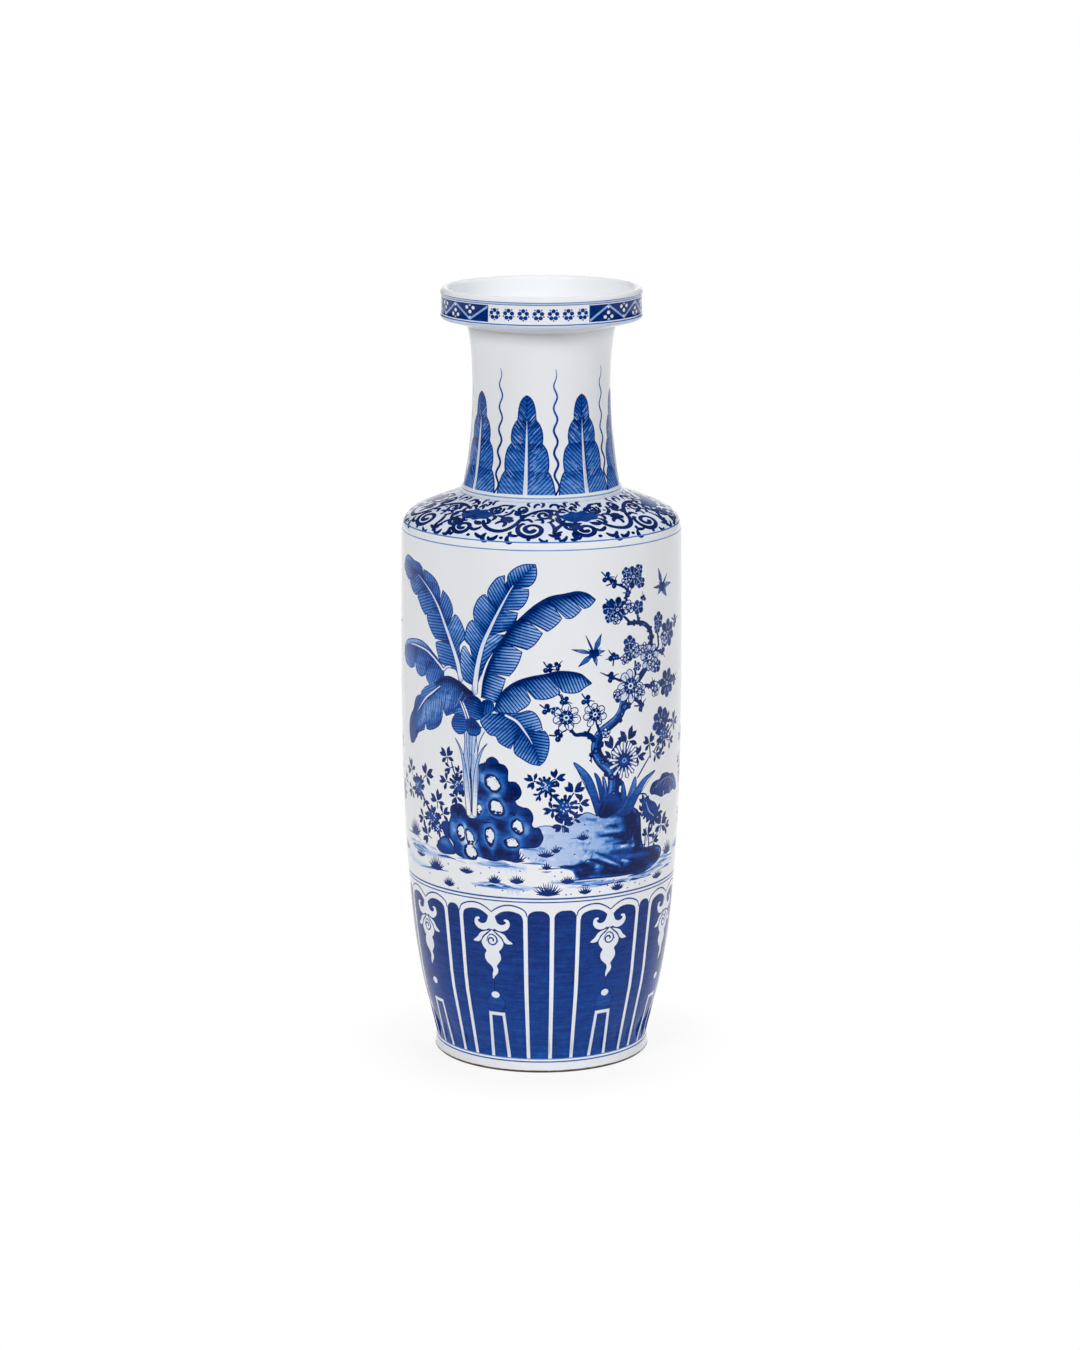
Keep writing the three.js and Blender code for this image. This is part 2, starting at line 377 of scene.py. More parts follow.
def paintPanels(work, b):
    spacing, first = radians(b.pitch) * b.girth, radians(b.firstPanel) * b.girth
    blue = ((0, 88), (0, 18), b.blue, b.lowBlue)
    edge = b.half + b.line

    def strip(low, high):
        c, h = (low + high) / 2, (high - low) / 2
        top = smooth([(c - h, 100), (c - h * 0.86, 102.2), (c - h * 0.45, 103.9), (c, 104.2),
                      (c + h * 0.45, 103.9), (c + h * 0.86, 102.2), (c + h, 100)])
        work.fill(np.concatenate([[(c - h, b.foot), (c - h, 50), (c - h, 99)], top,
                                  [(c + h, 99), (c + h, 50), (c + h, b.foot)]]), blue)

    for n in range(b.count):
        # The front gap holds two strips, so the panels right of it stand further round
        work.put(first - n * spacing)
        for side in (-1, 1):
            work.stroke(flipped(b.archLine, side), [0.6, 0.9, 0.9, 0.9, 0.7], 0.78)
        right = flipped(b.arch[-2::-1], -1)
        work.fill(np.concatenate([b.arch[:2], smooth(b.arch[2:]), smooth(right[:-2]),
                                  right[-2:]]), blue)
        # White reserve: stem, two curls, side leaves and a hanging bud
        work.fill(b.stem, 0.02)
        for side in (-1, 1):
            work.stroke(flipped(b.curl, side), [1.6, 2.4, 3.4, 4, 4, 3.4, 2.2, 1.3], 0.02)
            work.shape(flipped(b.sideLeaf, side), 0.03)
        work.shape(b.bud, 0.02)
        work.coil(-0.4, 84.4, 3.9, 0.9, -1.35, 112, [0.6, 0.9, 0.9, 1.1], 0.84, 0.8)
        for side in (-1, 1):
            work.stroke(flipped([(0.4, 91), (3.2, 88.6), (5.6, 86.2), (7, 83)], side),
                        [0.5, 0.9, 0.9, 0.5], 0.86)
            work.stroke(flipped([(0.4, 88.6), (2.6, 86.6), (3.6, 83.6)], side), [0.3, 0.6, 0.3],
                        0.66)
        # Small ring, dot and the bracket that stands on the foot line
        work.stroke([(0, 59), (-0.3, 52)], [0.4, 0.6, 0.4], 0.97)
        work.dot(0, 44.4, 11, 9.5, ((0, 48), (0, 38), 0.74, 0.8), 16)
        work.coil(0, 44, 6.4, 6, 0.62, 200, [0.2, 0.5, 0.5, 0.2], 0.95, 1.2)
        work.dot(0, 49.7, 5.3, 4.3, 0.02, 12)
        work.fill(b.bracket, 0.03)
        strip(edge - spacing, -edge)
    work.put(first)
    far = radians(b.frontPitch) * b.girth - edge
    strip(edge, (edge + far - b.stripGap) / 2)
    strip((edge + far + b.stripGap) / 2, far)
    work.put()
    work.rings(b.rings)


# Stiff leaves and wavy tendrils round the neck
leafBand = {
    "girth": 43.0, "count": 8, "firstLeaf": -11.9, "frontPitch": 46.75, "foot": 367.1,
    "vein": 1.9, "tendrilTop": 440, "tendrilWave": 13,
    "outline": [(0, 424.8), (2.2, 423.4), (4.1, 420.5), (5.2, 416), (5.5, 412), (5.9, 410.3),
      (7.6, 408.2), (9.2, 404.5), (9.7, 400.5), (9.4, 397), (10.2, 395.8), (12, 393),
      (13, 388.5), (13.1, 384), (12.7, 380.6), (13.8, 379), (15.3, 375), (16.1, 370.5),
      (16.4, 367.1)],
    "lobes": [(410.3, 9), (396.6, 12.6), (380.4, 15.6)],
}


def paintNeckLeaves(work, b):
    rng = Random(4)
    toMm = b.girth * pi / 180
    # The leaves at the front stand a little further apart than the ones behind
    backPitch = (360 - 2 * b.frontPitch) / (b.count - 2)
    halfAt = lambda y: np.interp(y, *np.array(b.outline)[::-1, ::-1].T)
    for n in range(b.count):
        angle = (n - 1) * b.frontPitch if n < 3 else b.frontPitch + (n - 2) * backPitch
        work.put((b.firstLeaf + angle) * toMm)
        for side in (-1, 1):
            edge = flipped(b.outline, side)
            work.fill(np.concatenate([smooth(edge, gap=1), [(0, b.foot)]]),
                      ((0, 420), (0, 369), 0.86, 0.64), (90 - side * 44, b.vein, -0.22))
            # Darker wash where each lobe starts, paler towards its lower edge
            for y, wide in b.lobes:
                work.fill(flipped([(0.2, y + 1), (wide * 0.62, y), (wide * 0.98, y - 5.5),
                                   (wide * 0.6, y - 4), (0.2, y - 7)], side),
                          ((0, y), (0, y - 6), 0.16, 0.02), kind="add")
            work.stroke(edge, [0.8], 0.82, 1)
            for y, _ in b.lobes:
                x = side * halfAt(y)
                work.stroke([(x, y), (x * 0.6, y - 2.5), (x * 0.25, y - 6.5)], [0.8, 0.6, 0.2],
                            0.86)
            for k in range(26):
                y = rng.uniform(369, 415)
                x = rng.uniform(0.1, 0.6) * halfAt(y)
                run = rng.uniform(2.5, 6)
                work.stroke(flipped([(x, y), (x + run * 0.7, y + run * 0.72)], side),
                            [0.3, 0.8, 0.2], rng.choice((0.22, 0.3, 0.36, 0.97)))
        work.fill([(0, 411), (-0.55, 400), (-1.25, b.foot), (1.25, b.foot), (0.55, 400)], 0.03)
        work.stroke([(0, 424.5), (0, 412)], [0.6, 1.6, 0.6], 0.95)
        work.stroke([(1.1, 402), (1.7, 385), (2, 372)], [0.3, 0.7, 0.3], 0.85)
        # Tendril half way to the next leaf
        up = np.linspace(b.foot, b.tendrilTop, 70)
        swing = np.interp(up, [366, 430, 440], [1.2, 1.1, 0.5])
        x = (b.frontPitch if n < 2 else backPitch) * toMm / 2 \
            + np.cos((up - 424) / b.tendrilWave * fullTurn) * swing
        work.stroke(np.stack([x, up], 1), [1, 1.4, 1.5, 1.4, 1.3, 1.1, 0.5],
                    ((0, 380), (0, 440), 0.88, 0.6))
    work.put()


# Scrolling stems and blossoms on the shoulder, between two plain bands. Volutes are
# (across, up, radius, inner, turns, start, widths), and hooks (across, up, degrees, size), with
# a size below 0 where they bend the other way.
scrollBand = {
    "girth": 65.0, "count": 6, "firstBlossom": -36.2, "frontSpan": 64.0,
    "vines": [([(8, 339.4), (11, 334.4), (15, 331.2), (20, 330.2), (24, 332.2), (27.4, 337), (29.2, 342),
      (32, 347), (37, 351), (43, 353), (49, 352.6), (56, 350)],
      [1.8, 2.5, 2.7, 2.7, 2.7, 2.6, 2.5, 2.4, 2.3, 2]),
      ([(6, 350), (9.6, 354.6), (13, 357), (18, 357.4)], [1.6, 2.4, 2.2, 1.6]),
      ([(30, 341), (33.6, 342.6), (36, 340)], [1.6, 2.6, 1.8]),
      ([(52, 337), (50, 342), (52.6, 346), (58, 345.4)], [1.6, 2.6, 2.4, 1.6]),
      ([(-9, 339), (-13, 335), (-15.6, 330)], [1.6, 2.4, 1.8]),
      ([(17, 345), (21, 348.4), (22.4, 353)], [1.8, 2.6, 1.8]),
      ([(46, 339), (47.6, 334), (47, 329)], [1.6, 2.4, 1.8])],
    "coils": [(36, 332.6, 7.4, 1.4, 1.6, 130, [2.2, 2.8, 2.6, 2.4, 3]),
      (42.4, 347.6, 5.8, 1.2, -1.6, 170, [2, 2.4, 2.3, 2.6]),
      (-0.6, 331.6, 6.2, 1.2, 1.6, 100, [2, 2.6, 2.5, 2.8]),
      (11, 351.6, 4.8, 1.1, -1.5, 30, [1.9, 2.3, 2.2, 2.4]),
      (28, 353.4, 4.4, 1, 1.5, 200, [1.8, 2.2, 2.2, 2.4]),
      (56.4, 335.6, 4.6, 1, -1.5, 60, [1.8, 2.2, 2.2, 2.4])],
    "hooks": [(13, 340, 60, 1.2), (16.4, 336.6, 75, -1.3), (21, 334.4, 60, 1.2), (23.6, 338.6, 100, 1.3),
      (19.6, 341, 40, -1.2), (24.4, 343.6, 150, 1.2), (33.6, 347, 160, 1.2), (29, 347.6, 200, -1.1),
      (36, 355.6, 95, -1.2), (41, 356.4, 40, 1.2), (47, 356, 80, -1.2), (52.4, 354.6, 60, 1.2),
      (57.6, 355, 110, 1.2), (33, 357, 150, -1.1), (22, 357.4, 180, 1.1), (5, 356.4, 130, -1.2),
      (1, 354.4, 60, 1.2), (-4.6, 356.6, 120, -1.2), (46, 343, 70, 1.2), (49, 347.4, 140, -1.1),
      (44.4, 339.4, 10, 1.1), (44.6, 328.4, -40, 1.2), (40, 325.8, -70, 0.9), (30, 327.4, 200, -1.1),
      (25.4, 327.2, 240, 1.1), (20, 327, 250, -1.1), (14, 328, 230, 1.2), (9.6, 333, 250, -1.2),
      (8.4, 327.6, 300, 1.1), (51, 330.4, 200, 1.2), (53, 327, 260, -1), (57, 329.4, 300, -1.2),
      (60.4, 340.4, 60, -1.2), (37.4, 342, 30, -1.1), (-7, 329.6, 260, 1.1), (14, 345.4, 10, -1.3),
      (3.6, 337.4, 20, -1), (-4, 337.4, 160, 1), (61, 352, 100, -1.1), (51, 340, 60, 1.1),
      (27, 346.6, 60, 1.1), (17.4, 353.4, 20, 1.1)],
    "dots": [(11.5, 325.6), (35, 324.9), (48, 325.6), (58, 325.6), (-5, 325.2), (5, 326), (22, 325.6),
      (28, 336.4), (31.6, 337.6), (41.6, 339.4), (18.4, 349.6), (36, 346.6), (8.6, 345.6), (54, 350.4)],
    "deep": 0.95,
    "blossom": [(-10.4, 344), (-9, 347.6), (-6, 349), (-3.6, 351.4), (0, 350), (3.6, 351.4), (6, 349.2),
      (9.4, 347.6), (10.6, 344.4), (8.6, 341), (5, 340.4), (2, 338.6), (-1, 339.8), (-4, 338.8),
      (-7.6, 340.6)],
    "blossomHooks": [(-10, 345, 150, -1.3), (-9, 341.6, 215, 1.3), (10, 346, 25, 1.3),
      (9.4, 341.6, -30, -1.3), (-5, 350.6, 110, 1.3), (5, 350.6, 70, -1.3), (-3.6, 338.4, 250, -1.2),
      (3.6, 338.4, 290, 1.2), (0, 351, 92, 1.1)],
    "groundRings": [(342.4, 38, 0.055)],
    "rings": [(318.6, 0.7, 0.42), (323.2, 0.8, 0.5), (361.8, 0.7, 0.24), (364.8, 0.9, 0.34)],
}


def paintScroll(work, b):
    def hook(x, y, angle, bend):
        c, s, size = cos(radians(angle)), sin(radians(angle)), abs(bend)
        work.stroke([(x + u * size * c - v * bend * s, y + u * size * s + v * bend * c)
                     for u, v in ((0, 0), (1.5, 0.3), (2.9, 1.2), (3.3, 2.6), (2.4, 3.4))],
                    [w * size for w in (1.1, 1.8, 2.1, 1.9, 1.2)], b.deep, 0.9)

    work.rings(b.groundRings)
    first = radians(b.firstBlossom) * b.girth
    for n in range(b.count):
        # The span at the front is a little shorter than the five others
        span = (fullTurn * b.girth - b.frontSpan) / (b.count - 1) if n else b.frontSpan
        work.put(first + (b.frontSpan + (n - 1) * span if n else 0), span / b.frontSpan)
        for path, widths in b.vines:
            work.stroke(path, widths, b.deep, 0.9)
        for coil in b.coils:
            work.coil(*coil, b.deep)
        for place in b.hooks:
            hook(*place)
        for x, y in b.dots:
            work.dot(x, y, 2.2, 2, b.deep, 8)
        work.shape(b.blossom, 0.84, (160, 1.9, -0.1))
        for place in b.blossomHooks:
            hook(*place)
    work.put()
    work.rings(b.rings)


# Band round the mouth: lozenge ground with dots, and one plain panel with florets
rimBand = {
    "girth": 59.0, "low": 480.6, "high": 490.4, "panelLeft": -31.5, "panelRight": 28.0,
    "pitch": 13.3, "florets": 7,
    "rings": [(491.7, 1.2, 0.18), (492.5, 0.5, 0.55), (491.1, 0.4, 0.66), (479.6, 0.7, 0.6),
              (478.2, 1.8, 0.12)],
}


def paintRim(work, b):
    toMm = b.girth * pi / 180
    left, right = b.panelLeft * toMm, b.panelRight * toMm
    length = fullTurn * b.girth - (right - left)
    work.band(right, right + length, b.low, b.high, 0.9, 60)
    low, high, middle = b.low + 0.8, b.high - 0.8, (b.low + b.high) / 2
    count = round(length / toMm / b.pitch)
    pitch = length / count
    for n in range(count):
        x, way = right + n * pitch, 1 if n % 2 == 0 else -1
        foot, top = (low, high) if way > 0 else (high, low)
        work.stroke([(x, foot), (x + pitch, top)], [1.2, 1.2], 0.3)
        # Three dots and a lozenge in each corner that the zigzag leaves
        if n < count - 1:
            y = middle - way * 2
            for dx, dy, wide, tall, tone, sides in (
                    (0, 1.9, 2.6, 2.2, 0.02, 8), (-2.6, -0.5, 2.6, 2.2, 0.02, 8),
                    (2.6, -0.5, 2.6, 2.2, 0.02, 8), (0, -1.9, 2.2, 1.5, 0.24, 4),
                    (0, 5.2, 2.6, 2, 0.06, 4)):
                work.dot(x + pitch + dx, y + way * dy, wide, tall, tone, sides)
    work.rings(b.rings)
    # Row of small florets in the plain panel
    for n in range(b.florets):
        x = left + (right - left) * (n + 0.5) / b.florets
        for k in range(5):
            work.dot(*reach((x, middle), 90 + 72 * k, 2.2), 2.7, 2.5, 0.8, 9)
            work.dot(*reach((x, middle), 126 + 72 * k, 3.3), 1.1, 1.1, 0.66, 6)
        work.dot(x, middle, 1.6, 1.6, 0.05, 8)
    for x in (left, right):
        work.stroke([(x, b.low), (x, b.high)], [0.5, 0.5], 0.66)


# Garden round the body: plantain, pierced rock, prunus, flowers and ground

def pathOf(points):
    p = smooth(points, gap=0.8)
    return p, lengths(p)


# A torn plantain leaf. Each side is a row of lobes from the stalk to the tip; between two
# lobes the blade is torn towards the rib. Veins run from the rib to the lobe's edge. A stalk's
# line is some points, a stretch of the rib, and more points.
def plantainLeaf(work, leaf, veinGap=1.75):
    rib, ribLength = pathOf(leaf["rib"])
    lead, shade = leaf.get("lead", 3.5), leaf.get("shade", 0.12)
    creases = []
    for lobes, tips in zip(leaf["lobes"], leaf["tears"]):
        tears, cuts = np.reshape(tips, (-1, 2)).astype(float), [0]
        for tip in tears:
            near = np.argmin(np.hypot(*(rib - tip).T))
            back = int(np.searchsorted(ribLength, max(ribLength[near] - lead, 0)))
            cuts.append(max(back, cuts[-1] + 1))
            creases.append((tip, rib[min(back, len(rib) - 1)]))
        cuts.append(len(rib) - 1)
        for n, lobe in enumerate(lobes):
            before, after = tears[max(n - 1, 0):n], tears[n:n + 1]
            edge = smooth(lobe, gap=1)
            inner = rib[cuts[n]:cuts[n + 1] + 1][::-1]
            start, end = inner.mean(0), edge.mean(0)
            way = degrees(atan2(*(end - start)[::-1]))
            work.fill(np.concatenate([edge, after, inner, before]), (start, end, *leaf["tones"]),
                      (way, veinGap, leaf["depth"]))
            work.soft(inner[::2], [0.36 * dist(start, end)] * 2, shade)
            # The tear's far side lies in the shade of the lobe before it
            for tip in before:
                work.soft([tip, (tip + inner[-1]) / 2, inner[-1]], [1.5, 5, 2.5], shade * 1.8)
            work.stroke(edge, [0.5, 0.75, 0.75, 0.75, 0.5], 0.8)
            for corner, tip in (*zip(edge[:1], before), *zip(edge[-1:], after)):
                work.stroke([corner, tip], [0.6, 0.5], 0.86)
    for tip, at in creases:
        work.stroke([tip, (tip + at) / 2 + [0.3, 0.3], at], [0.4, 0.7, 0.4], 0.88)
    if "ridge" in leaf:
        work.soft(leaf["rib"], [w * 3.4 for w in leaf["ridge"]], 0.34)
        work.stroke(leaf["rib"], [w * 0.7 for w in leaf["ridge"]], 0.93)
    if "stalk" in leaf:
        before, low, high, after = leaf["stalkLine"]
        path = before + leaf["rib"][low:high] + after
        work.stroke(path, [w + 1 for w in leaf["stalk"]], 0.8)
        work.stroke(path, leaf["stalk"], (path[0], path[-1], 0.05, 0.12))


# A study is a few patches, then soft washes over them, then the lines on top. A line that
# follows part of a patch's edge is given as (patch, from, to, step).
def paintStudy(work, study):
    for points, tone, *hatch in study["patches"]:
        work.shape(points, tone, *hatch, gap=0.9)
    for path, widths, amount in study["washes"]:
        work.soft(path, widths, amount)
    for path, widths, amount in study.get("mists", ()):
        work.soft(path, widths, amount, "mist")
    for pool in study.get("pools", ()):
        work.pool(*pool)
    for path, widths, tone in study["lines"]:
        if isinstance(path, tuple):
            path = study["patches"][path[0]][0][slice(*path[1:])]
        work.stroke(path, widths, tone)


# Fibres of a hanging leaf, as short dark and light strokes between its ridge and its edge
def streaks(work, ridge, edge, count, tones, seed):
    rng = Random(seed)
    top, low = pathOf(ridge)[0], pathOf(edge)[0]
    for k in range(count):
        share = (k + rng.random()) / count
        p, q = top[int(share * (len(top) - 1))], low[int(share * (len(low) - 1))]
        start, end = rng.uniform(0.04, 0.5), rng.uniform(0.6, 0.97)
        work.stroke([p + (q - p) * start, p + (q - p) * end], [0.2, rng.uniform(0.5, 0.9), 0.2],
                    rng.choice(tones))


plantain = [
    {"rib": [(-49.5, 240), (-52, 250), (-57, 262), (-62, 272), (-67, 281), (-74, 289), (-83, 295.5),
      (-92, 299), (-108, 303)],
     "stalkLine": ([], 0, 6, [(-83, 295.2), (-87, 297)]), "stalk": (2.8, 2.4, 2, 1.6, 1.2, 0.8, 0.3),
     "tones": (0.6, 0.48), "depth": 0.3,
     "tears": [[(-57.4, 274.6), (-66, 284.6), (-82, 298.6)],
      [(-61, 261.6), (-72, 278.2), (-82.4, 288.8), (-95, 293.6)]],
     "lobes": [[[(-49.4, 246), (-50.2, 254), (-50.6, 260.2), (-46.8, 265.6), (-48.4, 272), (-52, 277.4),
      (-53.8, 278.2)],
      [(-55.4, 279), (-56, 283), (-59, 288), (-63.2, 291.4)],
      [(-65.4, 290), (-66.6, 293), (-70, 297.2), (-76, 300), (-81, 301.2)],
      [(-82.6, 302), (-86, 304), (-92, 304.6), (-97, 305.8), (-103, 306.2), (-108, 303.6)]],
      [[(-54, 246), (-60, 246.8), (-65.4, 249), (-67.4, 253), (-69.2, 259), (-67.4, 260.6)],
      [(-69.6, 262), (-73, 265.6), (-76, 270), (-77.6, 274), (-76.4, 276.4)],
      [(-79.4, 274.6), (-83, 277.6), (-86, 281.4), (-88, 284.6), (-86, 287.4)],
      [(-90, 284.6), (-94, 286.2), (-97.4, 289.4), (-99.2, 292.6)],
      [(-101.4, 292.2), (-106, 294.4), (-110.6, 298.4), (-108, 303.4)]]]},
    {"rib": [(-40.3, 233.5), (-39.5, 242), (-38, 251), (-35, 262), (-30, 273), (-25, 283), (-19, 294),
      (-12, 302), (-3.5, 310.5)],
     "stalkLine": ([], 0, 7, [(-16.4, 298)]), "stalk": (3.2, 2.8, 2.4, 2, 1.5, 1, 0.4),
     "tones": (0.6, 0.36), "depth": 0.36,
     "tears": [[(-41.6, 253.6), (-38, 273.4), (-30.2, 287.8), (-21.4, 298.4)],
      [(-29, 268.8), (-22, 283.6), (-14.4, 296.8)]],
     "lobes": [[[(-41, 238), (-47, 240.4), (-49.6, 247), (-49.6, 256), (-47.2, 260.4), (-44, 257)],
      [(-43.4, 261), (-46.8, 264.4), (-46, 270), (-44.4, 274), (-41.8, 276.4)],
      [(-40.2, 275), (-41, 281), (-39, 287), (-36, 290.8), (-33.4, 292)],
      [(-31.6, 290), (-31.8, 294), (-29.6, 298), (-26, 302), (-21.6, 303.8)],
      [(-20, 300.6), (-19.4, 304), (-15.6, 308), (-10, 310.4), (-3.6, 310.7)]],
      [[(-36, 244), (-33, 252), (-28.6, 258.6), (-24, 264.6), (-21, 269)],
      [(-22.6, 270.8), (-18.4, 272.6), (-15, 277.6), (-13.8, 282.2)],
      [(-13.2, 284), (-9.8, 287.4), (-7.7, 292), (-7.4, 296)],
      [(-7.4, 297.6), (-5, 299.6), (-3.2, 303), (-2.8, 307), (-3.4, 310.6)]]]},
    {"rib": [(-62, 243), (-66, 247), (-72, 251), (-79, 253.8), (-90, 254.8), (-98, 254), (-110, 249)],
     "stalkLine": ([(-57, 247), (-60, 246.6), (-62.8, 244.6)], 1, 5, [(-97, 254.2)]),
     "stalk": (0.9, 1.3, 1.2, 1.1, 1, 0.9, 0.4), "tones": (0.64, 0.48), "depth": 0.2,
     "tears": [[], [(-78, 243), (-90.6, 246)]],
     "lobes": [[[(-62, 245), (-66, 249), (-72, 253.4), (-78, 257), (-86, 258.6), (-96, 257.4), (-104, 255),
      (-110, 250)]],
      [[(-62, 240), (-68, 235), (-73.4, 233.4), (-77.4, 236), (-79, 239.4)],
      [(-79.6, 238.6), (-84, 237.4), (-88.6, 239), (-90.6, 242)],
      [(-92.4, 241.4), (-98, 240), (-106, 241.6), (-110.6, 246)]]]},
    {"rib": [(-36, 231), (-34.4, 242), (-30.4, 253), (-25, 262.6), (-18.6, 272), (-11, 279.6), (-3, 286.4),
      (5, 291), (14, 292.8), (21, 294), (27, 292.6), (32, 289)],
     "ridge": (0.8, 1.4, 1.8, 2.2, 2.6, 3.4, 3, 2.2, 1), "lead": 6, "shade": 0.08,
     "tears": [[(-28.4, 246), (-18.4, 263.4), (-7.6, 277.4), (7.4, 285.6), (18.6, 288.8)]],
     "tones": (0.58, 0.26), "depth": 0.48,
     "lobes": [[[(-34.6, 231), (-31, 230), (-27, 229.2), (-24.6, 233), (-22.6, 238), (-21, 243.2)],
      [(-18.8, 245), (-15.6, 249), (-13, 254), (-11.2, 259.2)],
      [(-8.2, 260.8), (-4, 264), (-1, 268), (0.6, 270.4)],
      [(3.4, 271.6), (7, 274), (10, 276.8), (11.8, 279)],
      [(14.6, 278.8), (18, 279.2), (21, 281.4), (23.4, 283.8)],
      [(25, 284.2), (28, 285.2), (30.6, 287.4), (32, 289)]]]},
    {"rib": [(-28, 224), (-25.4, 231), (-21, 237), (-14, 241.8), (-6, 244.6), (2, 246.2), (9, 247.8),
      (17, 247.4), (23, 245.8), (27, 242.6), (29.6, 240)],
     "ridge": (1, 1.6, 2, 2, 1.6, 1.6, 1.3, 1), "lead": 5, "shade": 0.08,
     "tears": [[(-9.6, 238.2), (9.2, 240.2)]], "tones": (0.58, 0.3), "depth": 0.46,
     "lobes": [[[(-27, 223.4), (-21, 222.6), (-16.8, 222.4), (-12.4, 225), (-8, 228), (-6.2, 231)],
      [(-3.6, 231.9), (2, 231.8), (7, 233.2), (10.8, 235.6)],
      [(12.4, 235.8), (17, 235), (22, 235.6), (25.4, 238), (29.4, 239.8)]]]},
]

# The leaf in front that folds down to the right
foldedLeaf = {
    "rib": [(-26, 222.6), (-21, 221.8), (-14, 218), (-8, 210), (-5, 205), (-2.4, 199), (-1, 192.8)],
    "stalkLine": ([], 1, 4, [(-5.4, 205.4)]), "stalk": (1.3, 1.5, 1, 0.4), "tones": (0.6, 0.42),
    "depth": 0.42, "lead": 5, "tears": [[(-15.2, 208)], [(-3.4, 212.6)]],
    "lobes": [[[(-34, 222), (-36.6, 217.4), (-33.6, 212.4), (-30.6, 209.6), (-27, 209), (-25, 205.4),
      (-21, 203), (-18, 202)],
      [(-16.2, 204.6), (-15.6, 199.6), (-11, 196.2), (-6, 193.4), (-1, 192.4)]],
      [[(-24, 223.2), (-14, 223.2), (-8, 224.8), (-4, 223.6), (-0.8, 219), (0.6, 213.8)],
      [(2, 213), (4, 209.4), (4.4, 204.6), (3.6, 199.6), (1.6, 195), (-1, 192.4)]]],
}

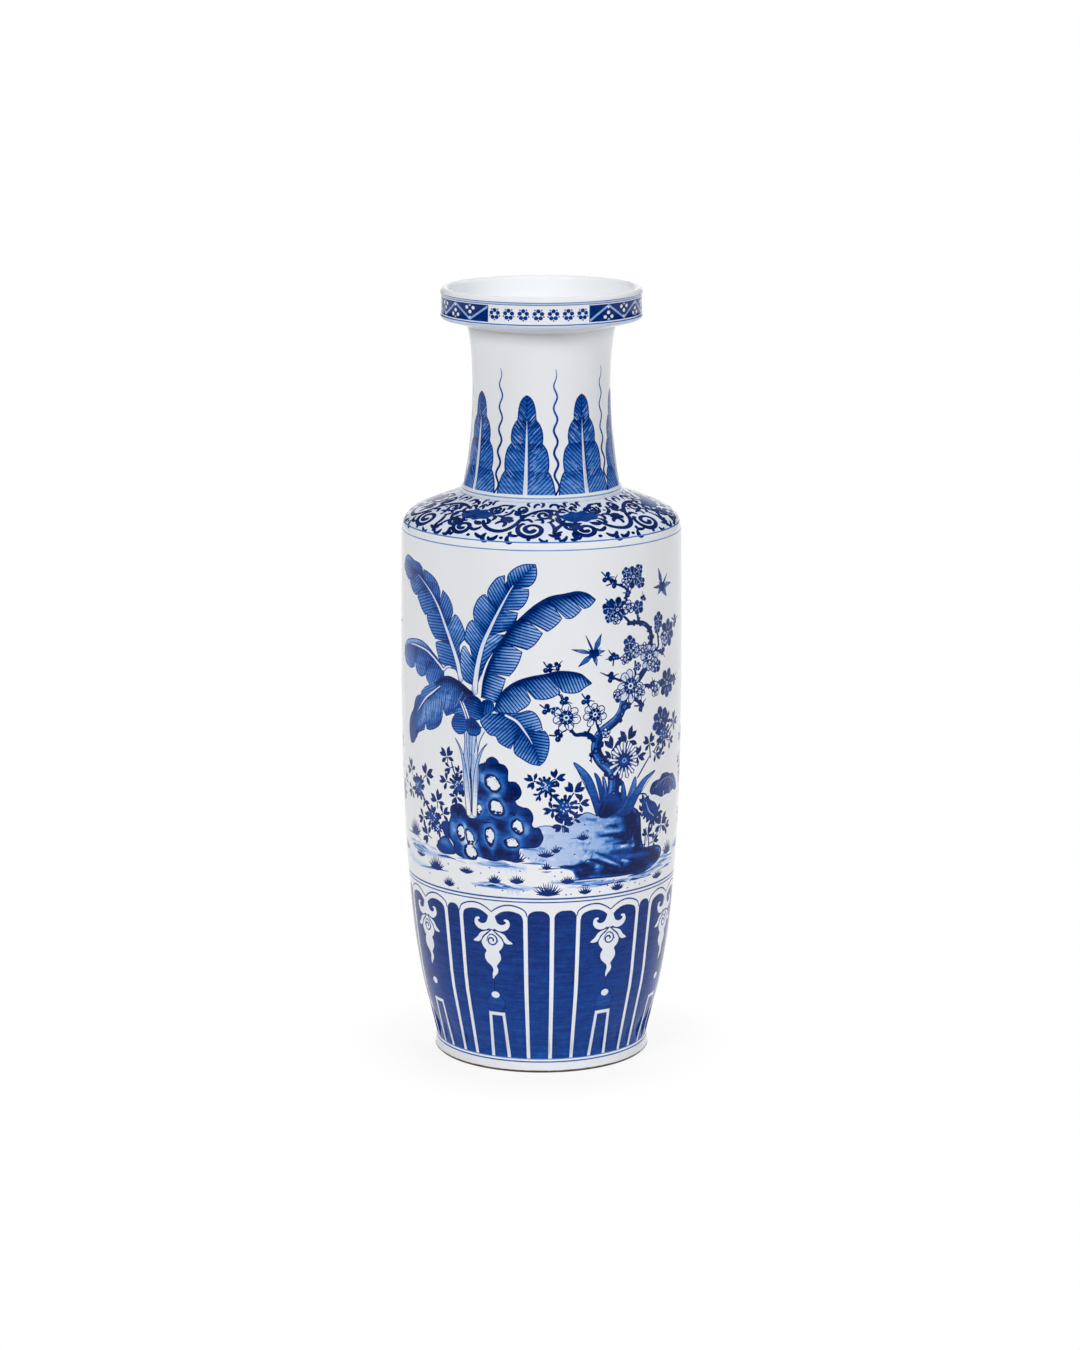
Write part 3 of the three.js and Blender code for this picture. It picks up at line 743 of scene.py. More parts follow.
# The big leaf that droops to the left, the short one in front of it, and the folded crown
droopFibres = [
    ([(-44, 232), (-54, 236), (-64, 235), (-74, 229), (-82, 221)],
    [(-50, 225), (-60, 218.6), (-68, 211), (-78, 208), (-92, 201)], 54, (0.34, 0.4, 0.46, 0.78, 0.84, 0.9)),
    ([(-84, 224), (-92, 214), (-98, 204)], [(-83, 214), (-89, 206), (-95, 197)], 14, (0.44, 0.84, 0.9)),
]
droops = {
    "patches": [([(-41, 232), (-45, 236), (-50, 239), (-57, 241.4), (-63, 240.6), (-68, 237.6),
      (-73, 234.2), (-79, 232), (-84, 226.6), (-89, 224.6), (-92, 221), (-94, 216), (-98, 211.6),
      (-100.6, 207), (-101, 200), (-98.6, 194.8), (-94, 195.4), (-90.6, 199), (-88, 202.6), (-84, 204.6),
      (-80.6, 206), (-79.4, 209.6), (-78.4, 206.8), (-75, 206.8), (-70, 208.6), (-66, 211.6),
      (-63.8, 216.6), (-63.2, 221), (-61, 217.4), (-57, 219), (-52, 221.6), (-48, 224)],
      ((-62, 240), (-70, 212), 0.6, 0.5), (85, 1.6, 0.22)),
      ([(-80, 227), (-84, 226.4), (-89, 224.6), (-92, 221), (-94, 216), (-98, 211.6), (-100.6, 207),
      (-101, 200), (-98.6, 194.8), (-94, 195.4), (-90.6, 199), (-88, 202.6), (-86, 209), (-82, 217)],
      ((-82, 222), (-98, 198), 0.56, 0.7), (64, 1.6, 0.18)),
      ([(-69, 234), (-74, 234), (-79, 232), (-83, 229), (-84.4, 226.6), (-80, 226), (-75, 229)], 0.48,
      (24, 1.5, 0.26)),
      ([(-58, 219.6), (-52, 222.4), (-48.4, 224.6), (-45.6, 219), (-50, 219.2)], 0.46, (15, 1.4, 0.24)),
      ([(-50, 228.4), (-46, 231), (-41, 231.6), (-36.6, 229), (-34.8, 224), (-35.4, 219), (-40, 217.6),
      (-45, 218.6), (-48, 222)], ((-44, 231), (-40, 218), 0.74, 0.54), (-14, 1.5, 0.26)),
      ([(-35.4, 229), (-31, 230), (-28, 228), (-28.6, 223), (-34, 222)], ((-32, 230), (-32, 222), 0.8, 0.6),
      (82, 1.5, 0.2)),
      ([(-56.4, 213), (-55.6, 216.6), (-53, 219.4), (-48.6, 219.6), (-45.4, 217), (-45.4, 212),
      (-48, 208.8), (-51.4, 208), (-54.6, 209.8)], ((-50, 219), (-52, 208), 0.7, 0.56), (4, 1.5, 0.2)),
      ([(-46, 216.8), (-43, 218.6), (-39.6, 217.4), (-36.4, 213.6), (-37, 210), (-40, 208.2), (-44, 208.6),
      (-46, 211.4)], ((-42, 218), (-42, 208), 0.8, 0.6), (80, 1.6, 0.12))],
    "washes": [([(-42, 232), (-48, 236.4), (-56, 239.4), (-63, 238.6), (-69, 235)], [6, 9, 9, 7, 2], 0.34),
      ([(-58, 229), (-66, 226), (-74, 220), (-82, 213)], [4, 9, 10, 6], -0.22),
      ([(-50, 225.4), (-56, 221), (-62, 219)], [2, 3.4, 2], 0.16),
      ([(-64.6, 214.6), (-70, 210.4), (-77, 209), (-84, 206.6), (-91, 201)], [2, 5, 5.4, 5, 3], 0.2),
      ([(-85, 224), (-91, 216.6), (-96.6, 206), (-98, 198)], [3, 6.4, 6.4, 3], 0.16)],
    "pools": [(-46, 233, 13, 12, 0.24), (-36.4, 225.6, 6, 12, 0.2), (-33, 219, 8, 6, 0.12),
      (-42, 214.6, 8, 6, 0.14)],
    "lines": [([(-65, 233.4), (-72, 229), (-79, 224), (-88, 215)], [0.8, 2, 2, 0.8], 0.9),
      ([(-65.6, 234.2), (-72, 229.8), (-79, 224.9), (-87.4, 216.4)], [0.5, 1.1, 1, 0.4], 0.07),
      ([(-79.4, 209.4), (-78, 217)], [0.9, 0.3], 0.92), ([(-63.2, 220.6), (-64.6, 227)], [0.9, 0.3], 0.92),
      ([(-84.4, 204.8), (-86, 211)], [0.9, 0.3], 0.9),
      ([(-90, 199.4), (-88, 202.6), (-84, 204.6), (-80.6, 206)], [0.7], 0.86), ((0, 22, 27), [0.7], 0.86),
      ((0, 28, 31), [0.7], 0.86), ((4, 0, 6), [0.6, 0.9, 1.2, 1.2, 0.9], 0.92), ((4, 5, 8), [0.9], 0.9),
      ([(-45.4, 212), (-48, 208.8), (-51.4, 208), (-54.6, 209.8), (-56.4, 213), (-55.6, 216.6),
      (-53, 219.4), (-48.6, 219.6)], [0.7], 0.86),
      ((7, 7, 2, -1), [0.8], 0.9), ([(-49.8, 228), (-47.2, 223), (-45, 217.4)], [3, 3.4, 2.4], 0.84),
      ([(-50.2, 227.6), (-47.8, 222.8), (-45.9, 217.6)], [0.7, 1, 0.7], 0.06),
      ([(-48.4, 227.4), (-46, 222.6), (-44.2, 218)], [0.7, 1, 0.7], 0.06)],
}

# The trunk, and the two old leaf sheaths that open at their tops
trunk = {
    "patches": [([(-47.4, 210), (-47.2, 203), (-48.6, 194), (-48.9, 184), (-47.8, 172), (-46.4, 160),
      (-40, 159.6), (-39, 170), (-38.2, 182), (-37.8, 192), (-38.6, 200), (-39.6, 209.6)],
      ((-44, 212), (-44, 160), 0.2, 0.08)),
      ([(-33, 214.8), (-36.8, 213), (-39.6, 207), (-40.6, 198), (-38.4, 198), (-37, 205), (-34.4, 210.8)],
      0.07)],
    "washes": [([(-41.6, 196), (-41.2, 180), (-41.4, 164)], [1.6, 2.4, 1.6], 0.2),
      ([(-46.6, 204), (-46.2, 190), (-45.2, 172)], [1.2, 1.6, 1.6], 0.14),
      ([(-43.4, 209), (-43.4, 196)], [3, 1.6], 0.3)],
    "lines": [([(-47.4, 209), (-47.2, 203), (-48, 194)], [0.6, 0.5], 0.72),
      ([(-39.6, 209), (-38.6, 200), (-38.4, 192)], [0.5, 0.5], 0.76),
      ([(-33, 214.6), (-36.8, 212.8), (-39.4, 207), (-40.6, 198)], [0.6], 0.76),
      ([(-34, 211), (-37, 205), (-38.6, 197)], [0.6], 0.76),
      ([(-45.8, 209), (-45.6, 200), (-44.6, 190), (-44, 182)], [0.4, 0.6, 0.5], 0.8),
      ([(-44.2, 209), (-44.2, 200), (-43.6, 190)], [0.4, 0.6, 0.4], 0.8),
      ([(-42, 208), (-42.4, 198), (-43, 188), (-43.2, 182)], [0.4, 0.6, 0.5], 0.84)],
    "sheaths": [[(-54, 205), (-51, 200.6), (-48.6, 194), (-47, 184), (-46, 172), (-45, 160.4)],
      [(-32.4, 204), (-35.6, 200), (-38.4, 193), (-39.8, 184), (-40.6, 172), (-41.2, 160.4)]],
    "cleft": [(-43.7, 190), (-43.2, 180), (-43.1, 168), (-43.2, 162)],
}


def paintTrunk(work, t):
    paintStudy(work, t)
    wide = [0.7, 1.9, 2.7, 3.4, 3.8, 3.6]
    for path in t["sheaths"]:
        work.stroke(path, wide, 0.88)
        work.stroke(path, [w - 0.9 for w in wide], (path[1], path[4], 0.34, 0.06))
        work.soft([(x + 0.5, y) for x, y in path[2:]], [1, 1.6, 1.4, 0.6], 0.16)
    work.stroke(t["cleft"], [0.4, 1.5, 0.9, 0.5], 0.92)


rock = {
    "outline": [(-58.6, 161), (-57.6, 163.6), (-53, 165.6), (-50, 165.2), (-47.4, 162.6), (-46, 160),
      (-40, 159.6), (-38.4, 163), (-38.6, 168), (-39, 176), (-38.8, 186), (-38, 190), (-35.6, 191.8),
      (-33.4, 192.2), (-32.4, 194.6), (-29.4, 196.2), (-26.4, 194.8), (-25, 192.6), (-22, 191.8),
      (-20, 189), (-20, 185), (-19.6, 182.2), (-15.6, 182), (-13, 179.4), (-12, 175.6), (-13.6, 172.6),
      (-15.6, 171), (-14.4, 168.4), (-11, 167), (-8, 166.4), (-5.6, 163.4), (-5.2, 160), (-6, 157),
      (-4.6, 155), (-1.4, 154.6), (0, 151.6), (0.8, 149), (-0.6, 145.4), (-3, 143.4), (-8, 143),
      (-13, 142.4), (-14, 137.6), (-17, 134.6), (-24, 135), (-29, 133.8), (-35, 135), (-40, 135.6),
      (-41, 133.6), (-47, 133.2), (-52, 134), (-56, 136), (-57, 141), (-59.6, 144), (-60.6, 148),
      (-59.6, 154), (-58.2, 157.4)],
    "holes": [[(-33, 183.2), (-31, 185), (-28, 184.6), (-25.6, 182), (-24.8, 179), (-26.4, 176.8),
      (-29, 176.6), (-31, 178), (-32.6, 179.6)],
      [(-30.8, 167.6), (-29, 170.2), (-26, 170.4), (-23.6, 167.6), (-22.6, 164.4), (-24, 162.6),
      (-27, 162.4), (-29.8, 163.8)],
      [(-16.8, 158), (-14.6, 159.6), (-12.4, 158.6), (-11, 155.4), (-11, 153), (-12.8, 151.6), (-15, 152.6),
      (-17, 155)],
      [(-33.4, 152), (-31, 153.4), (-28.8, 151), (-29, 146.6), (-30.6, 143.6), (-32.6, 145.6),
      (-33.8, 148.6)],
      [(-53.4, 149), (-52.2, 152.6), (-49.6, 152.8), (-48.4, 149), (-49, 145.6), (-51.6, 144.8)],
      [(-46.8, 150.6), (-44, 149.6), (-42, 146.4), (-42.8, 143.6), (-45, 142.2), (-46.4, 145)],
      [(-47.4, 140.6), (-44, 142), (-41.4, 140), (-40, 136.8), (-42, 134.4), (-45.4, 134.4), (-47.8, 137)],
      [(-21.4, 146.6), (-18, 148.4), (-15.2, 147.4), (-13.8, 144.8), (-16.4, 143.2), (-20, 143.6)],
      [(-39.6, 161.4), (-39.2, 166.4), (-37.4, 167), (-36.2, 164.6), (-37.6, 161.8)]],
    "pools": [(-36.4, 184, 5, 9, -0.2), (-57.4, 150, 5, 12, -0.3), (-8, 154, 5, 9, -0.2),
      (-17, 176, 8, 8, 0.22), (-27, 191, 12, 6, 0.1), (-43, 154, 10, 6, 0.2), (-35.6, 139, 9, 6, 0.16),
      (-4.4, 147, 7, 6, 0.14), (-53, 162, 9, 5, 0.18), (-23, 138.6, 12, 7, 0.18), (-25, 155, 7, 6, 0.16),
      (-9, 162, 6, 6, 0.12), (-35.6, 175.6, 5, 4, 0.14), (-43, 160, 12, 3, 0.16), (-20, 172, 6, 4, 0.14)],
    "lines": [([(-41, 157.6), (-36, 156.6), (-30, 157)], [0.4, 1.2, 0.4], 0.97),
      ([(-30, 160), (-25, 158.6), (-20, 157.4)], [0.4, 1, 0.4], 0.96),
      ([(-19.6, 182.2), (-19, 178), (-20, 174)], [0.8, 1.4, 0.5], 0.95),
      ([(-34, 193), (-34.6, 189), (-36, 186)], [0.7, 1.1, 0.4], 0.95),
      ([(-16, 178.6), (-14.6, 176), (-16, 174.4)], [0.5, 1.6, 0.6], 0.99),
      ([(-18, 163.6), (-16, 162.4)], [1.2, 1.6], 0.98),
      ([(-41.4, 142), (-38.6, 147), (-38.8, 152)], [0.5, 1.2, 0.5], 0.95),
      ([(-10, 166.6), (-9, 162.6)], [0.9, 0.4], 0.93)],
    "stone": ([(-71.6, 136.8), (-69, 140.8), (-65, 143.8), (-61.4, 143.4), (-58, 139.6), (-56, 135.4),
      (-62, 134), (-68, 134.2)], ((-62, 143), (-66, 134), 0.66, 0.86)),
    "backStone": [(-66, 148), (-66.6, 152), (-63, 153.8), (-59.6, 152), (-58.6, 146), (-62, 142)],
}


def grown(points, share):
    p = np.array(points, float)
    centre = p.mean(0)
    return centre + (p - centre) * share


def paintRock(work, r):
    work.shape(r["backStone"], 0.84, gap=1)
    work.shape(*r["stone"], gap=1)
    work.pool(-64.6, 140.6, 7, 4, -0.24)
    work.stroke(r["stone"][0] + r["stone"][0][:1], [0.9], 0.95)
    work.shape(r["outline"], 0.87, gap=1)
    for across, up, wide, high, amount in r["pools"]:
        work.pool(across, up, wide, high, amount * 1.3)
    work.stroke(smooth(r["outline"] + r["outline"][:1], gap=1), [0.9], 0.95)
    rng = Random(6)
    for hole in r["holes"]:
        edge = grown(hole, 1.5)
        work.soft([*edge, edge[0]], [rng.uniform(5, 7), rng.uniform(3, 6)],
                  -rng.uniform(0.2, 0.4))
    for hole in r["holes"]:
        middle = np.mean(hole, 0)
        work.shape(grown(hole, 1.28) + [-0.3, -0.3], 0.96, gap=1)
        rough = smooth(hole, True, 1.5)
        work.fill([middle + (p - middle) * rng.uniform(0.8, 1.04) for p in rough], 0.02)
        for k in range(5):
            p = rough[rng.randrange(len(rough))]
            low = max(0, (middle - p)[1] + (middle - p)[0] * 0.4)
            work.dot(*(middle + (p - middle) * rng.uniform(0.6, 0.9)), 0.7 + 0.45 * low,
                     0.6 + 0.3 * low, 0.9, 7)
    for path, widths, tone in r["lines"]:
        work.stroke(path, widths, tone)


def bud(work, x, y, angle, size):
    c, s = cos(radians(angle)) * size, sin(radians(angle)) * size
    at = lambda u, v: (x + u * c - v * s, y + u * s + v * c)
    work.stroke([at(-3.6, 0.4), at(0, 0)], [0.8 * size, 0.9 * size], 0.85)
    work.stroke([at(1.5, 0.6), at(3.2, 2), at(4.6, 3)], [0.9 * size, 0.7 * size, 0.4], 0.85)
    for u, v, wide, tone, sides in ((0.2, 1.6, 3, 0.93, 9), (0.6, -1.7, 3, 0.93, 9),
                                    (1.9, 0.1, 2.6, 0.93, 9), (0.4, -1.5, 0.9, 0.6, 6)):
        work.dot(*at(u, v), wide * size, wide * size, tone, sides)


# Open blossom: scalloped petals outlined round a dark eye with a pale ring
def blossom(work, x, y, radius, petals, shade):
    rng = Random(round(x * 10))
    for k in range(petals):
        a = 90 + 360 / petals * (k + rng.uniform(-0.16, 0.16))
        petal = reach((x, y), a, radius * rng.uniform(0.58, 0.72))
        wide, high = radius * rng.uniform(0.72, 0.9), radius * rng.uniform(4.2, 5.6) / petals
        work.dot(*petal, wide, high, 0.88, 12, a)
        work.dot(*petal, wide - 1.2, high - 1.2, shade, 12, a)
    work.heart(x, y, radius, (1.06, 1.06, 0.88, 14))
    for k in range(petals * 2):
        a = 90 + 360 / petals * (k + 0.5) / 2
        work.stroke(ray(x, y, a, radius * 0.3, radius * (0.84 if k % 3 else 0.66)),
                    [1, 0.17 * radius, 0.4], 0.95)
        if k % 2:
            work.stroke(ray(x, y, a, radius * 0.26, radius * 0.44), [0.5, 0.4], 0.35)
    work.heart(x, y, radius, (0.44, 0.42, 0.05, 10), (0.24, 0.22, 0.9, 8))


# Blossom in shade: a few dark rounded petals with fine lights between them
def bloom(work, x, y, radius, seed, light=0.2):
    rng = Random(seed)
    count = 5 if radius < 5.5 else 7
    turn = rng.uniform(0, 60)
    for k in range(count):
        a = 360 / count * k + turn
        petal = reach((x, y), a, radius * rng.uniform(0.58, 0.68))
        wide, high = radius * 0.84, radius * 4.5 / count
        work.dot(*petal, wide + 0.5, high + 0.5, 0.34, 11, a)
        work.dot(*petal, wide, high, rng.choice((0.97, 0.94, 0.86)), 11, a)
    work.heart(x, y, radius, (0.86, 0.8, 0.93, 12))
    for k in range(count):
        a = 360 / count * (k + 0.5) + turn
        work.stroke(ray(x, y, a, radius * 0.32, radius * 0.6), [0.4, 0.6, 0.3], light)
    work.heart(x, y, radius, (0.34, 0.3, light, 8), (0.16, 0.14, 0.95, 6))


# Garden flower: two rows of narrow dark petals round a pale-flecked heart
def aster(work, x, y, radius, seed):
    rng = Random(seed)
    for row, count, length in ((1, 11, 0.62), (0.74, 9, 0.5)):
        for k in range(count):
            a = 360 / count * k + rng.uniform(-10, 10)
            far = radius * row * rng.uniform(0.9, 1.05)
            work.stroke(ray(x, y, a, far - radius * length, far),
                        [1.6, radius * 0.44, radius * 0.3], rng.choice((0.97, 0.93, 0.86)))
    work.heart(x, y, radius, (1.1, 1, 0.74, 14))
    for k in range(15):
        a = degrees(rng.uniform(0, fullTurn))
        work.dot(*reach((x, y), a, radius * rng.uniform(0.1, 0.5)), rng.uniform(0.7, 1.3), 0.7,
                 rng.choice((0.08, 0.16, 0.95)), 6, a)


def spray(work, x, y, angle, size, count, tone=0.92):
    for k in range(count):
        off = k - (count - 1) / 2
        far = 1.12 - 0.1 * abs(off)
        work.stroke(ray(x, y, angle + off * 46 + (9 if k % 2 else -5), 0.12 * size, 0.4 * size,
                        0.7 * size, far * size), [0.4, 0.32 * size, 0.42 * size, 0.3], tone, 1.4)
    work.stroke(ray(x, y, angle + 180, 0, size * 0.6), [0.9, 0.6], tone)


def daisy(work, x, y, radius, petals=13):
    for k in range(petals):
        a = 360 / petals * k + 6
        path = ray(x, y, a, radius * 0.25, radius * 0.45, radius * 0.98)
        work.stroke(path, [1.4, 2, 3.2], 0.88)
        work.stroke(path[1:], [0.6, 1.3, 1.7], 0.06)
        work.stroke(ray(x, y, a + 13.75, radius * 0.3, radius * 0.66), [1.2, 0.7], 0.92)
    work.heart(x, y, radius, (0.62, 0.56, 0.84, 12), (0.34, 0.3, 0.4, 10), (0.16, 0.14, 0.92, 8))


def tuft(work, x, y, wide, high, blades=11, tone=0.9):
    for k in range(blades):
        f = k / (blades - 1) * 2 - 1
        up = high * (1 - 0.62 * f * f) * (0.86 if k % 2 else 1.0)
        work.stroke([(x + f * wide * 0.16, y), (x + f * wide * 0.36, y + up * 0.5),
                     (x + f * wide * 0.5, y + up)], [1.2, 0.9, 0.3], tone)
    work.stroke([(x - wide * 0.4, y + 0.2), (x, y - 0.4), (x + wide * 0.4, y + 0.2)],
                [0.5, 1.6, 0.5], tone)


prunus = {
    "branches": [([(42, 164.5), (43.4, 171), (44.4, 180), (43, 186.4), (38.6, 190.4), (34.6, 195),
      (32.6, 200), (33.2, 206), (36, 210.6), (41, 214), (46, 217.4), (49.4, 222), (50.8, 228), (52, 234)],
      [11, 8, 7.4, 7, 6.6, 6.2, 5.8, 5.4, 5.2, 5, 4.8, 4]),
      ([(60.6, 238), (65, 242), (69, 246), (72, 251), (72.6, 258), (72.8, 264), (70.4, 268.4), (66, 271.4),
      (60, 272.8), (53.6, 272.8)], [4, 3.8, 3.4, 3, 2.6, 2]),
      ([(62.6, 272), (61.4, 276), (61, 280)], [2, 1.4]),
      ([(56, 272.4), (52.6, 276), (49, 278.6)], [1.8, 1.2]),
      ([(53.4, 284), (52.4, 289), (53, 293), (49, 295.6), (43.6, 297.6)], [1.8, 1.6, 1.4, 1]),
      ([(53, 292.4), (56, 297)], [1.4, 1]), ([(50, 222.4), (54.6, 225), (58.4, 228.6)], [3.6, 3, 2.6]),
      ([(58, 227.6), (62, 225), (65, 219)], [1.6, 1.2, 0.5]),
      ([(63, 232.6), (68, 234.2), (74, 233), (80, 234), (88, 233.2), (104, 231.6)],
      [2.4, 2, 1.6, 1.4, 0.8]),
      ([(75, 233.6), (76, 236.6)], [1.2, 0.8]),
      ([(73, 258), (76.4, 254.6), (80, 256), (79.4, 262), (79, 270)], [1.6, 1.6, 1.4, 1.2]),
      ([(79.4, 267), (84, 267.4), (88, 265)], [1.4, 1.2, 1]), ([(77, 254), (84, 252)], [1.4, 1]),
      ([(59.4, 250), (59.4, 244), (60, 239)], [1.4, 1.6, 1.6]),
      ([(50, 253.4), (45, 253), (38.4, 253.6)], [1.2, 1, 0.5]), ([(64, 253.6), (60, 253.4)], [1.2, 1]),
      ([(49, 239.6), (45, 241.4), (40, 243.6), (35, 246)], [1.5, 1.3, 1, 0.5]),
      ([(31.4, 206), (28.4, 209.4), (24, 210.2), (19.6, 210.4), (17, 214)], [3.2, 2.8, 2.4, 2, 1.4]),
      ([(27, 210.6), (29, 214)], [1.6, 0.8]), ([(34.6, 211), (32.6, 217)], [1.8, 1.4]),
      ([(32, 202), (29.6, 196), (29.8, 193)], [1.6, 1.2, 0.6]),
      ([(12.6, 225), (12.2, 230), (10.4, 235)], [1.3, 1.1, 0.7]), ([(29.6, 224), (27, 228.6)], [1.2, 1]),
      ([(11.6, 217), (9.6, 213), (8, 211)], [1.2, 1.2, 0.9])],
    "blossoms": [(14.4, 220.6, 8.2, 7, 0.05), (31.8, 221.4, 7.2, 7, 0.05), (55.8, 235.8, 9.4, 8, 0.1),
      (63, 231.4, 4.8, 6, 0.1), (46.6, 232, 3.4, 5, 0.1), (60.6, 256.4, 4.4, 6, 0.08),
      (51.8, 252, 3.2, 5, 0.06), (71.4, 251, 7.8, 8, 0.16), (74.6, 246, 4.4, 6, 0.1),
      (67, 257, 3.2, 5, 0.06), (54.4, 282.6, 4.4, 5, 0.05), (45.4, 276.2, 3.2, 5, 0.05),
      (52.6, 297.8, 3.2, 5, 0.06), (77, 230.8, 4.4, 5, 0.08), (38.6, 209.8, 3, 5, 0.06),
      (87, 259.6, 4, 5, 0.1)],
    "blooms": [(46.4, 282, 7, 30), (58, 300, 6.4, 31), (56, 256.4, 5.6, 32), (91, 262, 8, 33),
      (47.6, 231, 4, 34), (90, 232, 8.4, 3), (80, 271.6, 4.6, 4), (61.6, 281.4, 4.2, 5),
      (83, 210.6, 8.4, 6), (78, 244.6, 4.4, 7), (40.2, 283.6, 4, 8), (41, 277.6, 3, 9),
      (62, 303.6, 3.4, 10), (63.6, 296, 3.4, 11), (52.6, 303, 3.2, 12), (55, 261.4, 4.2, 13),
      (61.4, 246.6, 2.4, 14), (8.2, 224.6, 2.8, 15), (79, 266.8, 3, 16)],
    "buds": [(3.4, 250.4, -50, 1.1), (8.6, 251, 10, 0.9), (38.6, 302, -40, 1.1), (42.8, 297.6, 20, 1.1),
      (41, 286.4, -40, 1), (43.8, 253.4, 90, 1.2), (41.4, 242.8, -20, 1.1), (25.8, 231, -50, 1.1),
      (13, 231.2, -60, 1), (2.2, 226.2, -30, 1.1), (8.8, 210, 0, 1.2), (63, 223, 0, 1.2),
      (99.6, 232.4, 0, 1.2), (101, 267.6, -20, 1.3), (84, 253, -90, 1.1), (53.4, 291, 0, 0.9),
      (74, 234, 60, 0.8), (65.6, 286, 60, 0.8)],
    "knots": [(32.4, 199.6, 2.2), (43, 183, 2.4), (49.6, 220, 1.8), (71, 262.4, 1.6), (66.6, 271, 1.5),
      (69, 245.6, 1.6), (44.4, 173, 2.2), (36.8, 192.6, 1.8)],
}


def paintBranch(work, path, widths, rng):
    route, along = pathOf(path)
    wide = np.interp(along / along[-1], np.linspace(0, 1, len(widths)), widths)
    for k in range(int(along[-1] / 4.6)):
        i = int(rng.uniform(0.05, 0.95) * (len(route) - 1))
        way = route[min(i + 1, len(route) - 1)] - route[i - 1]
        side = np.array([-way[1], way[0]]) / max(hypot(*way), 1e-6) * rng.choice((-1, 1))
        at = route[i] + side * wide[i] * 0.5
        size = 1.0 + 0.36 * wide[i]
        work.dot(at[0], at[1], size * 1.3, size, 0.95, 8)
    work.stroke(path, [w * 1.1 for w in widths], 0.95, 1.0)
    if max(widths) > 4.5:
        work.stroke([(x - 0.1 * max(widths), y + 0.4) for x, y in path],
                    [v * 0.56 for v in widths], 0.72, 1.0)
        work.stroke([(x - 0.16 * max(widths), y + 0.6) for x, y in path],
                    [v * 0.2 for v in widths], 0.52, 1.0)


def paintPrunus(work, p):
    rng = Random(12)
    for path, widths in p["branches"]:
        paintBranch(work, path, widths, rng)
    route = pathOf(p["branches"][0][0])[0]
    for k in range(30):
        x, y = route[int(rng.uniform(0.02, 0.98) * (len(route) - 1))]
        work.dot(x + rng.uniform(-3, 3) * (1 - 0.4 * k / 30), y, rng.uniform(0.8, 2.4),
                 rng.uniform(0.6, 1.4), rng.choice((0.97, 0.93, 0.6)), 7)
    for x, y, size in p["knots"]:
        work.heart(x, y, size, (1.9, 1.7, 0.97, 10), (0.8, 0.7, 0.55, 8))
    for draw, places in ((bloom, "blooms"), (blossom, "blossoms"), (bud, "buds")):
        for place in p[places]:
            draw(work, *place)


# Winged insects seen from above: pointed wings round a small dark body. Each wing has its
# tip, its width and the tone inside it at the tip.
flies = {
    "near": ((31, 257.6),
      [((17.4, 260.6), 2.6, 0.02), ((26, 268.4), 1.4, 0.3), ((35.8, 268.8), 3.6, 0.36),
      ((21.4, 250.2), 3.6, 0.4), ((32.8, 250), 3, 0.05), ((38, 258.6), 2.6, 0.05)]),
    "far": ((84, 291),
      [((75, 291.2), 2.4, 0.3), ((80, 302), 3.4, 0.5), ((95.4, 291.2), 3, 0.1), ((90.4, 297.6), 1.6, 0.2),
      ((89.4, 284), 4, 0.4), ((79.6, 286.6), 3, 0.2)]),
}


def paintFly(work, centre, wings):
    cx, cy = centre
    for (x, y), wide, inner in wings:
        mid = (cx * 0.45 + x * 0.55, cy * 0.45 + y * 0.55)
        end = (x * 0.86 + cx * 0.14, y * 0.86 + cy * 0.14)
        work.stroke([centre, mid, (x, y)], [1.2, wide, 0.4], 0.84)
        work.stroke([centre, mid, end], [0.4, wide - 1.1, 0.2], (centre, end, 0.8, inner))
        work.stroke([centre, (x, y)], [0.8, 0.4, 0.3], 0.8)
    for dx, dy in ((0, 0), (1.6, 1.2), (-1.4, 1.2), (0.2, -2), (2, -0.8), (-1.6, -1)):
        work.dot(cx + dx, cy + dy, 3.2, 2.8, 0.94, 9)
        work.stroke([(cx, cy), (cx + dx * 2.6, cy + dy * 2.4)], [1.2, 0.8, 0.3], 0.93)


